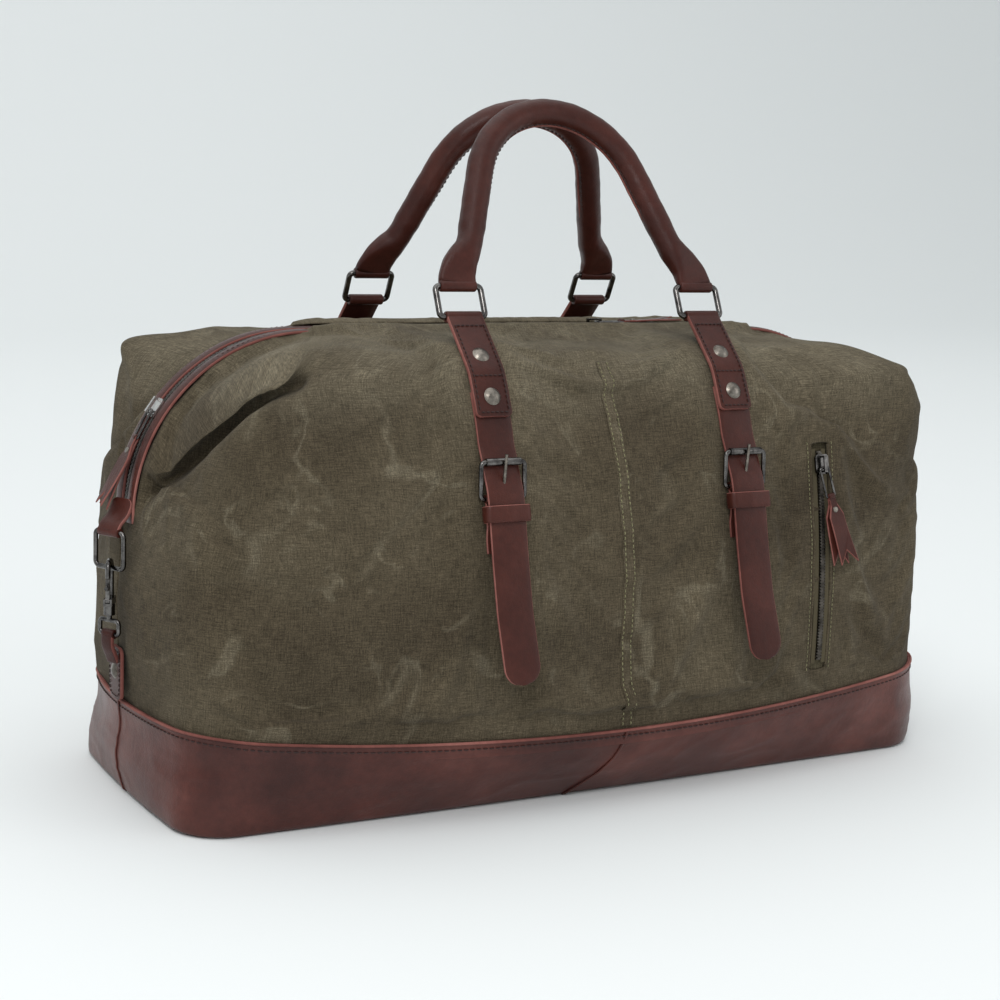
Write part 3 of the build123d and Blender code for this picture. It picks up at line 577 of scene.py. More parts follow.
def canvas_half(seed, back):
    """Points of the front canvas; the back one is a mirrored copy with its own creases."""
    lines = np.concatenate([
        np.linspace(run_at(RIM_MID - 7), run_at(262), 78),
        np.linspace(run_at(265), RUN[-1] - 1.0, 34),
    ])
    grid = surface(lines, CANVAS_IN)
    out = normals(grid).reshape(-1, 3)
    low = rim_height(grid[:, :, 0]) - 7
    first = grid[0, :, 2]
    lift = (low - first) * np.clip(1 - (grid[:, :, 2] - first) / 60, 0, 1)
    grid[:, :, 2] += np.where(grid[:, :, 2] < 110, lift, 0)
    flat = grid.reshape(-1, 3)
    across, height = np.abs(flat[:, 1]), flat[:, 2]
    calm = np.clip((height - rim_height(flat[:, 0])) / 22, 0, 1)
    calm *= np.clip((across - 16) / 16 + (height < 168), 0, 1)
    under_strap = np.clip((np.abs(np.abs(flat[:, 0]) - STRAP_X) - 15) / 12, 0, 1)
    calm *= np.maximum(under_strap, np.clip((165 - height) / 30, 0, 1))
    if not back:
        at_pocket = np.clip((np.abs(flat[:, 0] - POCKET_X) - 10) / 12, 0, 1)
        calm *= np.maximum(at_pocket, (height > POCKET_HIGH + 12) | (height < POCKET_LOW - 12))
    flat = flat + out * (crease_field(flat, seed) * calm)[:, None]
    flat[:, 0] += right_end_reach(flat)
    if back:
        flat[:, 0] -= 0.5 * right_end_reach(flat * (-1, 1, 1))
    on_top = (flat[:, 2] > 262) * smooth_step((185 - np.abs(flat[:, 0])) / 40)
    flat[:, 2] += on_top * 3.6 * np.exp(-(((np.abs(flat[:, 1]) - 21) / 9.0) ** 2))
    if back:
        to_corner = np.linalg.norm(flat - (-238.0, -98.0, 266.0), axis=1)
        flat += unit(np.array([-0.62, -0.4, 0.68])) * (9.0 * np.exp(-((to_corner / 24.0) ** 2)))[:, None]
    return ear_folds(flat, back).reshape(grid.shape)


def held_areas(grid, back):
    """How freely each point may move: 0 where straps, tabs, zips or seams hold the canvas."""
    x, y, z = grid[..., 0], grid[..., 1], grid[..., 2]
    free = np.ones(x.shape)
    free = np.minimum(free, np.clip((z - rim_height(x) + 4) / 20, 0, 1))
    columns = np.arange(x.shape[1])
    free = np.minimum(free, np.clip(np.minimum(columns, columns[::-1])[None, :] / 3.0, 0, 1) ** 0.7)
    top = np.clip(np.arange(x.shape[0])[::-1] / 4.0, 0, 1)[:, None]
    free = np.minimum(free, top)
    low_end = smooth_step((np.abs(x) - 245) / 25) * smooth_step((240 - z) / 110)
    free = free * (1 - 0.8 * low_end)
    under_strap = np.clip((np.abs(np.abs(x) - STRAP_X) - 14) / 16, 0, 1)
    free = np.minimum(free, np.maximum(under_strap, np.clip((160 - z) / 30, 0, 1)))
    if not back:
        at_pocket = np.clip((np.abs(x - POCKET_X) - 11) / 14, 0, 1)
        free = np.minimum(free, np.maximum(at_pocket, (z > POCKET_HIGH + 14) | (z < POCKET_LOW - 14)))
    return free


def simulate(obj, rest, free, frames=16, reach=11.0):
    """Cloth run with slack and a little air pressure.

    Movement is capped, held areas stay, and most of the broad movement is taken out again, so that
    the outline stays and the small folds remain.
    """
    group = obj.vertex_groups.new(name="held")
    for i, value in enumerate(1 - free.ravel()):
        if value > 0.02:
            group.add([i], float(value), "REPLACE")
    cloth = obj.modifiers.new("cloth", "CLOTH")
    values = {
        "quality": 5, "mass": 0.35, "tension_stiffness": 18, "compression_stiffness": 18,
        "shear_stiffness": 6, "bending_stiffness": 0.6, "air_damping": 2, "shrink_min": -0.035, "use_pressure": True,
        "uniform_pressure_force": 1.2, "vertex_group_mass": "held", "pin_stiffness": 2.0,
    }
    for key, value in values.items():
        setattr(cloth.settings, key, value)
    cloth.settings.effector_weights.gravity = 0.6
    cloth.collision_settings.use_collision = False
    cloth.point_cache.frame_start, cloth.point_cache.frame_end = 1, frames
    scene = bpy.context.scene
    for f in range(1, frames + 1):
        scene.frame_set(f)
    evaluated = obj.evaluated_get(bpy.context.evaluated_depsgraph_get())
    after = np.empty(len(rest) * 3)
    evaluated.data.vertices.foreach_get("co", after)
    obj.modifiers.remove(cloth)
    obj.vertex_groups.clear()
    scene.frame_set(1)
    move = after.reshape(-1, 3) / MM - rest
    size = np.linalg.norm(move, axis=1, keepdims=True)
    move *= np.minimum(1, reach / np.maximum(size, 1e-9)) * free.reshape(-1, 1)
    field = move.reshape(*free.shape, 3)
    broad = field.copy()
    for _ in range(90):
        broad[1:-1] = 0.25 * broad[:-2] + 0.5 * broad[1:-1] + 0.25 * broad[2:]
        broad[:, 1:-1] = 0.25 * broad[:, :-2] + 0.5 * broad[:, 1:-1] + 0.25 * broad[:, 2:]
    return rest + (field - 0.9 * broad).reshape(-1, 3)


def window_mask(grid):
    """Quads of the front grid that lie in the pocket zip's slot."""
    centre = (grid[:-1, :-1] + grid[1:, 1:]) / 2
    inside = np.abs(centre[..., 0] - POCKET_X) < 3.6
    return inside & (centre[..., 2] > POCKET_LOW - 5) & (centre[..., 2] < POCKET_HIGH + 4)


def cut_window(mesh, mask):
    """Delete the masked quads from a mesh."""
    work = bmesh.new()
    work.from_mesh(mesh)
    work.faces.ensure_lookup_table()
    bmesh.ops.delete(work, geom=[work.faces[i] for i in np.nonzero(mask)[0]], context="FACES")
    work.to_mesh(mesh)
    work.free()


def canvas(name, seed, back):
    """One side's canvas, with the pocket's slot cut in the front one."""
    grid = canvas_half(seed, back)
    rows, columns = grid.shape[:2]
    if not back:
        x = grid[..., 0]
        away = np.abs(x - POCKET_X)
        grid[..., 0] = np.where(away < 9.5, POCKET_X + np.sign(x - POCKET_X) * (6.8 + away * 0.27), x)
    uvs = np.stack(np.meshgrid(lengths(grid[20]), lengths(grid[:, columns // 2])), axis=-1)
    faces = grid_faces(rows, columns)
    points = grid.reshape(-1, 3)
    if back:
        points = points * (1, -1, 1)
        faces = [f[::-1] for f in faces]
    obj = make_object(name, points, faces, [CANVAS_MAT], uvs=uvs.reshape(-1, 2) * MM + (seed, 0))
    points = simulate(obj, points, held_areas(grid, back))
    obj.data.vertices.foreach_set("co", (points * MM).ravel())
    grid = (points * ((1, -1, 1) if back else (1, 1, 1))).reshape(grid.shape)
    if not back:
        cut_window(obj.data, window_mask(grid).ravel())
    thick = obj.modifiers.new("thick", "SOLIDIFY")
    thick.thickness = CANVAS_THICK * MM
    thick.offset = -1
    fine = obj.modifiers.new("fine", "SUBSURF")
    fine.levels = fine.render_levels = 1
    return obj, grid


canvas_front, FRONT = canvas("canvas_front_cloth", 3.1, False)
canvas_back, _ = canvas("canvas_back_cloth", 11.7, True)
finish_piece(canvas_front, "bag", ["canvas_front_left", "canvas_front_right", "lining"])
finish_piece(canvas_back, "bag", ["canvas_back_left", "canvas_back_right"])


def on_canvas(x, z, off=0.0):
    """Point on the front canvas nearest to x and z, moved out by off."""
    part = FRONT[:, 36:-36]
    xs = part[len(part) // 2, :, 0]
    j = int(np.clip(np.searchsorted(xs, x) - 1, 0, len(xs) - 2))
    share = (x - xs[j]) / (xs[j + 1] - xs[j])
    column = part[:, j] * (1 - share) + part[:, j + 1] * share
    low, y, high = np.interp((z - 3, z, z + 3), column[:, 2], column[:, 1])
    return np.array([x, y, z]) + unit(np.array([0, -1, (high - low) / 6])) * off


# ------------------------------------------------------------------ leather base
def base_rows():
    """Loops of the leather tray from the middle of its underside up to its top edge."""
    lines = np.linspace(0, run_at(RIM_END + 4), 40)
    side = surface(lines, 0.0, whole_mouth=False)
    rim = rim_height(side[0, :, 0])
    loops = []
    for share in np.linspace(0, 1, 30):
        row = np.array([between(z, side[:, j, 2], side[:, j]) for j, z in enumerate(rim * share)])
        loops.append(np.vstack([row, row[::-1][1:-1] * (1, -1, 1)]))
    wall = np.array(loops)
    floor = wall[0] * np.array([0.03, 0.3, 0.6, 0.85, 0.96, 0.985])[:, None, None]
    floor[..., 2] = 0.0
    wall[0] *= 0.995
    wall[0, :, 2] = 0.7
    return np.vstack([floor, wall])


def leather_tray():
    """The tray, with a soft relief, a low left corner that reaches out, and a turned-in raw top edge."""
    loops = base_rows()
    rows, columns = loops.shape[:2]
    out = unit(np.cross(np.gradient(loops, axis=1), np.gradient(loops, axis=0)))
    relief = crease_field(loops.reshape(-1, 3) * (0.8, 0.8, 1.5), 40.3).reshape(rows, columns)
    calm = np.clip(loops[..., 2] / 8, 0, 1) * np.clip((rim_height(loops[..., 0]) - loops[..., 2]) / 8, 0, 1)
    loops = loops + out * (relief * calm * 0.55)[..., None]
    loops[..., 0] += right_end_reach(loops)
    low_left = smooth_step((-loops[..., 0] - 150) / 100) * smooth_step((48 - loops[..., 2]) / 48)
    loops[..., 0] -= 9.0 * low_left
    inner = loops[-1] - out[-1] * 1.8
    points = np.vstack([loops.reshape(-1, 3), inner, inner - (0, 0, 10.0)])
    faces = grid_faces(rows + 2, columns, True)
    kinds = [int(i // columns == rows - 1) for i in range(len(faces))]
    faces.append(tuple(range(columns - 1, -1, -1)))
    obj = make_object("leather_tray", points, faces, [BASE_MAT, EDGE_MAT], kinds + [0])
    finish_piece(obj, "bag", ["leather_base", "base_board"])
    return loops, out


TRAY, TRAY_OUT = leather_tray()


def tray_line(drop, off):
    """Closed line round the tray, drop below its top edge and off its surface."""
    step = TRAY[-2] - TRAY[-1]
    return TRAY[-1] + step * (drop / np.maximum(-step[:, 2:3], 0.1)) + TRAY_OUT[-3] * off, TRAY_OUT[-3]


def base_trim():
    line, out = tray_line(0.2, -0.4)
    line, out = np.vstack([line, line[:2]]), np.vstack([out, out[:2]])
    piping = sweep("base_edge_binding", line, out, strap_section(0.9, 1.4, 0.2, 0.45, 5), [EDGE_MAT])
    finish_piece(piping, "bag", ["base_piping"])
    line, out = tray_line(4.2, 0.05)
    line, out = np.vstack([line, line[:1]]), np.vstack([out, out[:1]])
    row = stitches("base_stitching", line, out, DARK_THREAD_MAT, 4.2, 3.1)
    finish_piece(row, "bag", [])
    seams = []
    half = (TRAY.shape[1] + 2) // 2
    places = ((half // 2, -26.0), (half // 2 + half - 1, 26.0), (0, 0.0), (half - 1, 0.0))
    for k, (j, lean) in enumerate(places):
        out = TRAY_OUT[6:, j]
        line = TRAY[6:, j] + out * 0.1
        line[:, 0] += lean * np.clip(1 - line[:, 2] / 42, 0, 1) ** 2
        seams.append(sweep(f"seam_{k}", line, out, strap_section(0.9, 0.8, 0.2, 0.3, 5), [BASE_MAT]))
    finish_piece(join("base_seams", seams), "bag", [])


base_trim()


# ------------------------------------------------------------------ main zip
def zip_line(height=0.0, beyond=0.0, step=2.0):
    """Points along the zip from its left end to its right end, and their outward ways."""
    reach = ZIP_RADIUS + height
    angles = np.linspace(-ZIP_END, 0, int(reach * ZIP_END / step))
    out_left = np.stack([np.sin(angles), 0 * angles, np.cos(angles)], axis=1)
    left = out_left * reach + (-ZIP_FLAT, 0, ZIP_CENTRE_Z)
    flat_x = np.arange(-ZIP_FLAT + step, ZIP_FLAT, step)
    flat = np.stack([flat_x, 0 * flat_x, 0 * flat_x + ZIP_CENTRE_Z + reach], axis=1)
    line = np.vstack([left, flat, left[::-1] * (-1, 1, 1)])
    out = np.vstack([out_left, np.tile((0.0, 0, 1), (len(flat), 1)), out_left[::-1] * (-1, 1, 1)])
    if beyond:
        away = np.linspace(beyond, step, int(beyond / step))[:, None]
        start = line[0] + unit(line[0] - line[1]) * away
        end = line[-1] + unit(line[-1] - line[-2]) * away[::-1]
        line = np.vstack([start, line, end])
        out = np.vstack([np.tile(out[0], (len(away), 1)), out, np.tile(out[-1], (len(away), 1))])
    return line, out


def teeth(name, line, out, across, pitch, reach, tall):
    """Two interlocking rows of cast teeth along a line; across is the way over the zip."""
    profile = ((0.34, -0.55, 0.30), (0.40, 0.35, 0.42), (0.30, 1.0, 0.30))
    corners = ((-1, -1), (1, -1), (1, 1), (-1, 1))
    run = lengths(line)
    points, faces = [], []
    for k, at in enumerate(np.arange(pitch, run[-1] - pitch, pitch / 2)):
        centre = between(at, run, line)
        normal = unit(between(at, run, out))
        way = unit(between(at + 0.5, run, line) - centre) * pitch * 0.725
        side = np.array(across) * reach * (1 if k % 2 else -1)
        base = len(points)
        for along, far, high in profile:
            points += [centre + side * far + way * s * along + normal * (h * high * tall) for s, h in corners]
        faces += grid_faces(3, 4, True, base)
        faces += [(base + 3, base + 2, base + 1, base), (base + 8, base + 9, base + 10, base + 11)]
    return make_object(name, points, faces, [TEETH_MAT], smooth=False)


def main_zip():
    line, out = zip_line(-1.0)
    row = teeth("zip_coil_teeth", line, out, (0, 1, 0), 2.7, 3.0, 3.0)
    finish_piece(row, "bag", ["zip_teeth"])
    for side, sy in (("front", -1), ("back", 1)):
        line, out = zip_line(0.0, 7.0)
        wavy = 0.5 * np.sin(line[:, 0] * 0.09 + 1.3 * sy) + 0.35 * np.sin(line[:, 2] * 0.13)
        line = line + np.array([0, sy, 0]) * (10.3 + wavy)[:, None] + out * (0.25 * wavy - 0.9)[:, None]
        section = strap_section(5.6, 1.7, 0.7, 0.4)
        facing = sweep(f"zip_facing_leather_{side}", line, out, section, LEATHER_WITH_EDGES)
        finish_piece(facing, "bag", [f"zip_facing_{side}"])
        line, out = zip_line(1.2, 4.0)
        line = line + (0, sy * 11.6, 0)
        row = stitches(f"zip_facing_stitches_{side}", line, out, DARK_THREAD_MAT, 3.6, 2.6, 0.36, -0.25)
        finish_piece(row, "bag", [])


main_zip()


def zip_end_gussets():
    """Canvas behind each zip end, where the mouth narrows to a point under the end tab."""
    patches = []
    for sx in (-1, 1):
        spots = ((275.6, 177.0), (276.4, 167.0), (277.2, 155.0), (277.4, 143.0))
        line = np.array([(sx * x, 0, z) for x, z in spots])
        patches.append(sweep("patch", line, (sx, 0, 0), strap_section(13.0, 0.8, 0.0, 0.3, 7), [CANVAS_MAT]))
    finish_piece(join("zip_end_gussets", patches), "bag", [])


zip_end_gussets()


# ------------------------------------------------------------------ places taken from the CAD's own rules
def body_y(x, z):
    """Y of the plain front face at x and z."""
    i = int(np.clip(np.searchsorted(BODY[:, 0], z) - 1, 0, len(BODY) - 2))

    def bow(row):
        rise = row[1] - row[4]
        if abs(rise) < 0.01:
            return -row[1]
        radius = (row[3] ** 2 + rise**2) / (2 * abs(rise))
        drop = radius - math.sqrt(radius**2 - x**2)
        return -row[1] + drop * (1 if rise > 0 else -1)

    low, high = BODY[i], BODY[i + 1]
    share = (z - low[0]) / (high[0] - low[0])
    return bow(low) + (bow(high) - bow(low)) * share


def off_canvas(z, distance):
    """Y and Z at a distance off the plain front face, beside a strap."""
    slope = (body_y(STRAP_X, z + 2) - body_y(STRAP_X, z - 2)) / 4
    length = math.hypot(1, slope)
    return body_y(STRAP_X, z) - distance / length, z + distance * slope / length


BUCKLE_SLOPE = (body_y(STRAP_X, BUCKLE_Z + 20) - body_y(STRAP_X, BUCKLE_Z - 20)) / 40
BUCKLE_UP = unit(np.array([0, BUCKLE_SLOPE, 1]))
BUCKLE_OUT = unit(np.array([0, -1, BUCKLE_SLOPE]))
BUCKLE_ORIGIN = np.array([0, body_y(STRAP_X, BUCKLE_Z), BUCKLE_Z])


def buckle_point(up, out, x=0.0):
    """Point in the left or right buckle's own frame, with the strap's middle at x of 0."""
    return BUCKLE_ORIGIN + (x, 0, 0) + BUCKLE_UP * up + BUCKLE_OUT * out


def tapered(section, widths):
    """The section repeated with its side coordinates scaled to each half width."""
    half = section[:, 0].max()
    stack = np.repeat(section[None], len(widths), axis=0)
    stack[..., 0] *= (np.asarray(widths) / half)[:, None]
    return stack


def round_tips(line, half, corner, both):
    """Half widths along a strap whose last end, or both ends, are rounded to a corner radius."""
    run = lengths(line)
    from_tip = np.minimum(run, run[-1] - run) if both else run[-1] - run
    inside = np.clip(corner - from_tip, 0, corner)
    return half - corner + np.sqrt(np.maximum(corner**2 - inside**2, 0.04))


def strap_piece(name, line, out, half, thick, nodes, corner=0, both=False, crown=0.35):
    """A flat leather strap along a line, with raw edges; its last end, or both, can be rounded."""
    line = rounded(line, 1.2)
    widths = np.full(len(line), half)
    if corner:
        line = np.vstack([line, line[-1] + (line[-1] - line[-2]) * 0.001])
        widths = round_tips(line, half, corner, both)
    obj = sweep(name, line, out, tapered(strap_section(half, thick, crown), widths), LEATHER_WITH_EDGES)
    return finish_piece(obj, "bag", nodes)


def rod_mesh(name, a, b, radius, mats, count=20):
    """Round bar between two points, with softened ends."""
    a, b = np.asarray(a, float), np.asarray(b, float)
    shares = np.array([0, 0.012, 0.04, 0.25, 0.5, 0.75, 0.96, 0.988, 1])
    scale = np.array([0.8, 0.94, 1, 1, 1, 1, 1, 0.94, 0.8])
    turn = np.linspace(0, math.tau, count, endpoint=False)
    ring = np.stack([np.cos(turn), np.sin(turn)], axis=1) * radius
    helper = (0, 0, 1) if abs(unit(b - a)[2]) < 0.8 else (0, 1, 0)
    return sweep(name, a + (b - a) * shares[:, None], helper, ring[None] * scale[:, None, None], mats)


def loop_round_bar(bar, half=TAB_HALF, radius=HANDLE_BAR):
    """Leather folded round a ring's bar that runs along X."""
    ends = [np.array(bar) + (x, 0, 0) for x in (-half, half)]
    return rod_mesh("loop", *ends, radius, [LEATHER_MAT], 24)


# ------------------------------------------------------------------ handle tabs and buckle straps
def tab_pieces():
    bar = np.array([0, UPPER_BAR[0] - RING_RISE * math.sin(LEAN), UPPER_BAR[1] - RING_RISE * math.cos(LEAN)])
    middle = np.array([bar] + [(0, *off_canvas(z, 2.35)) for z in (269, 263, 243.2)])
    use = slice(7, -3)
    for front, sy in (("front", 1), ("back", -1)):
        for side, sx in (("left", -1), ("right", 1)):
            shift = np.array([sx * STRAP_X, 0, 0])
            line = middle * (1, sy, 1) + shift
            tab = strap_piece(f"tab_body_{front}_{side}", line, (0, -sy * 0.8, 0.6), TAB_HALF, 2.9, [], 3.0,
                              crown=0.15)
            tab = join(f"handle_tab_leather_{front}_{side}", [tab, loop_round_bar(bar * (1, sy, 1) + shift)])
            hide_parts(f"handle_tab_{front}_{side}")
            dense = rounded(line, 1.2)
            normal = unit(np.cross(tangents(dense), (1.0, 0, 0)))
            normal = normal * np.sign(normal @ np.array([0, -sy, 0.3]))[:, None]
            rows = []
            for x in (-9.9, 9.9):
                seam = dense[use] + (x, 0, 0) + normal[use] * 3.2
                rows.append(stitches("row", seam, normal[use], DARK_THREAD_MAT, 3.3, 2.4, 0.4))
            for at in (-3, 8, -22):
                seam = dense[at] + normal[at] * 3.35 + np.linspace(-9.4, 9.4, 12)[:, None] * (1.0, 0, 0)
                rows.append(stitches("row", seam, normal[at], DARK_THREAD_MAT, 3.1, 2.3, 0.4))
            finish_piece(join(f"tab_stitches_{front}_{side}", rows), "bag", [])


tab_pieces()


def keeper(name, shift):
    """Closed leather loop round the strap below its buckle."""
    right = [(0, 3.4), (13.6, 3.4), (13.9, 5.0), (13.6, 9.5), (0, 10.3)]
    around = right + [(-x, out) for x, out in reversed(right[:-1])]
    path = [buckle_point(-20, out, x) + shift for x, out in around]
    dense = soften(resample(np.array(path), 0.8), 3)
    outs = dense - dense.mean(axis=0)
    outs = unit(outs - np.outer(outs @ BUCKLE_UP, BUCKLE_UP))
    return sweep(name, dense, outs, strap_section(5.0, 1.3, 0.2, 0.4, 7), LEATHER_WITH_EDGES)


def buckle_straps():
    outward = (0, -1, 0.2)
    strap_line = [(0, *off_canvas(z, 0.3)) for z in (258, 250, 242, 235, 228)]
    over_buckle = ((12, 2.0), (4, 3.1), (-5, 5.7), (-12, 6.3), (-26, 6.0))
    strap_line += [buckle_point(up, out) for up, out in over_buckle]
    strap_line += [(0, y, z) for y, z in ((-142.1, 160), (-149.1, 131), (-155.6, 107), (-159.1, 90))]
    chape_line = [(0, *off_canvas(z, 0.2)) for z in (165, 175)]
    chape_line += [buckle_point(-26.5, 1.3), buckle_point(-18, 1.4), buckle_point(-10.5, 1.6)]
    for side, sx, drift in (("left", -1, 3.0), ("right", 1, 4.5)):
        shift = np.array([sx * STRAP_X, 0, 0])
        line = np.array(strap_line) + shift
        line[:, 0] += drift * np.clip((150 - line[:, 2]) / 60, 0, 1) ** 2
        nodes = [f"buckle_strap_{side}"]
        strap_piece(f"buckle_strap_leather_{side}", line, outward, STRAP_HALF, 1.8, nodes, 11.0, crown=0.45)
        chape = strap_piece(f"chape_{side}", np.array(chape_line) + shift, outward, 11.6, 1.8, [])
        loops = [
            rod_mesh("loop", buckle_point(-10.5, 2.9, a) + shift, buckle_point(-10.5, 2.9, b) + shift, 2.85,
                     [LEATHER_MAT])
            for a, b in ((-11.6, -2.5), (2.5, 11.6))
        ]
        chape = join(f"buckle_chape_leather_{side}", [chape, *loops])
        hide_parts(f"buckle_chape_{side}")
        loop = keeper(f"strap_keeper_leather_{side}", shift)
        finish_piece(loop, "bag", [f"strap_keeper_{side}"])


buckle_straps()


# ------------------------------------------------------------------ handles
def superellipse(a, b, power, count=32):
    """Closed section between an ellipse (power 2) and a rectangle (high power)."""
    t = np.linspace(0, math.tau, count, endpoint=False)
    c, s = np.cos(t), np.sin(t)
    across = a * np.sign(c) * np.abs(c) ** (2 / power)
    along = b * np.sign(s) * np.abs(s) ** (2 / power)
    return np.stack([across, along], axis=1)


def handle_outline():
    """X and height of the handle's middle line, in the handle's own leaning plane."""
    middle = HANDLE_TOP - HANDLE_ARC
    shoulder = (HANDLE_ARC * math.cos(LEG_LEAN), middle + HANDLE_ARC * math.sin(LEG_LEAN))
    foot_x = shoulder[0] + (shoulder[1] - 26) * math.tan(LEG_LEAN)
    angles = np.linspace(LEG_LEAN, math.pi - LEG_LEAN, 40)
    arc = [(HANDLE_ARC * math.cos(a), middle + HANDLE_ARC * math.sin(a)) for a in angles]
    leg = [(STRAP_X, 1.0), (87.6, 5.0), (86.0, 10.0), (82.5, 17.0), (foot_x, 26.0), (66.0, 53.0)]
    return rounded(np.array(leg + arc + [(-x, h) for x, h in reversed(leg)]), 2.0, 10)


def handle_section(k, height):
    """Section of the handle at a height: flat where it folds round the ring, then a slightly uneven roll."""
    t = smooth_step((height - 2) / 27)
    neck = math.exp(-((height - 33) / 7.0) ** 2)
    squeeze = 1 + 0.012 * math.sin(k * 0.55) + 0.008 * math.sin(k * 1.3 + 2)
    half = 12.3 + (8.7 - 12.3) * t - 0.6 * neck
    thick = 3.1 + (8.5 - 3.1) * t - 0.3 * neck
    return superellipse(half * squeeze, thick * squeeze, 4.5 - 2.4 * t)


def in_handle_plane(x, height, sy):
    y = (UPPER_BAR[0] + height * math.sin(LEAN)) * sy
    return np.stack([x, y, UPPER_BAR[1] + height * math.cos(LEAN)], axis=-1)


def handles():
    outline = handle_outline()
    sections = [handle_section(k, h) for k, h in enumerate(np.minimum(outline[:, 1], 40))]
    use = slice(12, -12)
    for front, sy in (("front", 1), ("back", -1)):
        line = in_handle_plane(outline[:, 0], outline[:, 1], sy)
        normal = np.array([0, -math.cos(LEAN) * sy, math.sin(LEAN)])
        grip = sweep("grip", line, normal, sections, [LEATHER_MAT])
        loops = [loop_round_bar((sx * STRAP_X, UPPER_BAR[0] * sy, UPPER_BAR[1])) for sx in (-1, 1)]
        inward = unit(in_handle_plane(0.0, 55.0, sy) - line)
        inward = unit(inward - normal * (inward @ normal)[:, None] - 0.25 * normal)
        side = unit(np.cross(tangents(line), inward))
        line, inward, side = line[use], inward[use], side[use]
        seam = sweep("seam", line + inward * 7.9, inward, strap_section(0.9, 1.2, 0.2, 0.3, 5), [EDGE_MAT])
        handle = join(f"handle_grip_{front}", [grip, *loops, seam])
        finish_piece(handle, f"handle_{front}", [f"handle_cover_{front}", f"handle_core_{front}"])
        line = line + unit(inward + side * 0.34) * 8.55
        row = stitches(f"handle_stitches_{front}", line, inward, DARK_THREAD_MAT, 3.6, 2.6, 0.4)
        finish_piece(row, f"handle_{front}", [])


handles()


# ------------------------------------------------------------------ leather zip pulls
def pull_ply(outline, low, thick, droop, curl):
    """One flat ply with a soft edge, bent along its length."""
    outline = np.asarray(outline, float)
    line = resample(np.vstack([outline, outline[:1]]), 1.3)[:-1]
    middle = line.mean(axis=0)
    inner = middle + (line - middle) * 0.93
    count = len(line)
    rows = []
    for ring, z in ((inner, 0.0), (line, 0.25), (line, thick - 0.25), (inner, thick)):
        bend = droop * ((ring[:, 0] - outline[:, 0].min()) / 48) ** 2
        curled = curl * np.sin(ring[:, 0] * 0.11) * ring[:, 1] * 0.08
        rows.append(np.column_stack([ring, low + z + bend + curled]))
    points = np.vstack(rows)
    faces = grid_faces(4, count, True)
    kinds = [1] * len(faces)
    faces += [tuple(range(count - 1, -1, -1)), tuple(3 * count + j for j in range(count))]
    return points, faces, kinds + [0, 0]


def placed(origin, x_dir, z_dir):
    """A local frame: its axes as columns, and its origin."""
    x, z = unit(x_dir), unit(z_dir)
    return np.column_stack([x, np.cross(z, x), z]), np.array(origin)


def pocket_arc():
    """Centre (y, z) and radius of the arc that the pocket zip follows."""
    (ay, az), (by, bz), (cy, cz) = (
        (body_y(POCKET_X, z), z) for z in (POCKET_HIGH, (POCKET_HIGH + POCKET_LOW) / 2, POCKET_LOW)
    )
    d = 2 * (ay * (bz - cz) + by * (cz - az) + cy * (az - bz))
    aa, bb, cc = ay**2 + az**2, by**2 + bz**2, cy**2 + cz**2
    y = (aa * (bz - cz) + bb * (cz - az) + cc * (az - bz)) / d
    z = (aa * (cy - by) + bb * (ay - cy) + cc * (by - ay)) / d
    return y, z, math.hypot(ay - y, az - z)


def pocket_line(z, off):
    """Points on the pocket zip's arc at heights, moved out by off, and their outward ways."""
    y_centre, z_centre, radius = pocket_arc()
    t = np.arcsin((np.asarray(z) - z_centre) / radius)
    out = np.stack([0 * t, -np.cos(t), np.sin(t)], axis=-1)
    return out * (radius + off) + (POCKET_X, y_centre, z_centre), out


def slider_places():
    """Each slider's local frame, the axis that its pull is turned about, and the turn in degrees."""
    outward = np.array([-math.sin(END_SLIDER), 0, math.cos(END_SLIDER)])
    end = placed(outward * ZIP_RADIUS + (-ZIP_FLAT, 0, ZIP_CENTRE_Z),
                 (-math.cos(END_SLIDER), 0, -math.sin(END_SLIDER)), outward)
    spot, out = pocket_line(POCKET_SLIDER_Z, 0.0)
    pocket = placed(spot, (0, -out[2], out[1]), out)
    return {
        "top": (placed((TOP_SLIDER_X, 0, ZIP_TOP), (1, 0, 0), (0, 0, 1)), "Y", 0.0),
        "end": (end, "Y", 7.0),
        "pocket": (pocket, "Z", 12.0),
    }


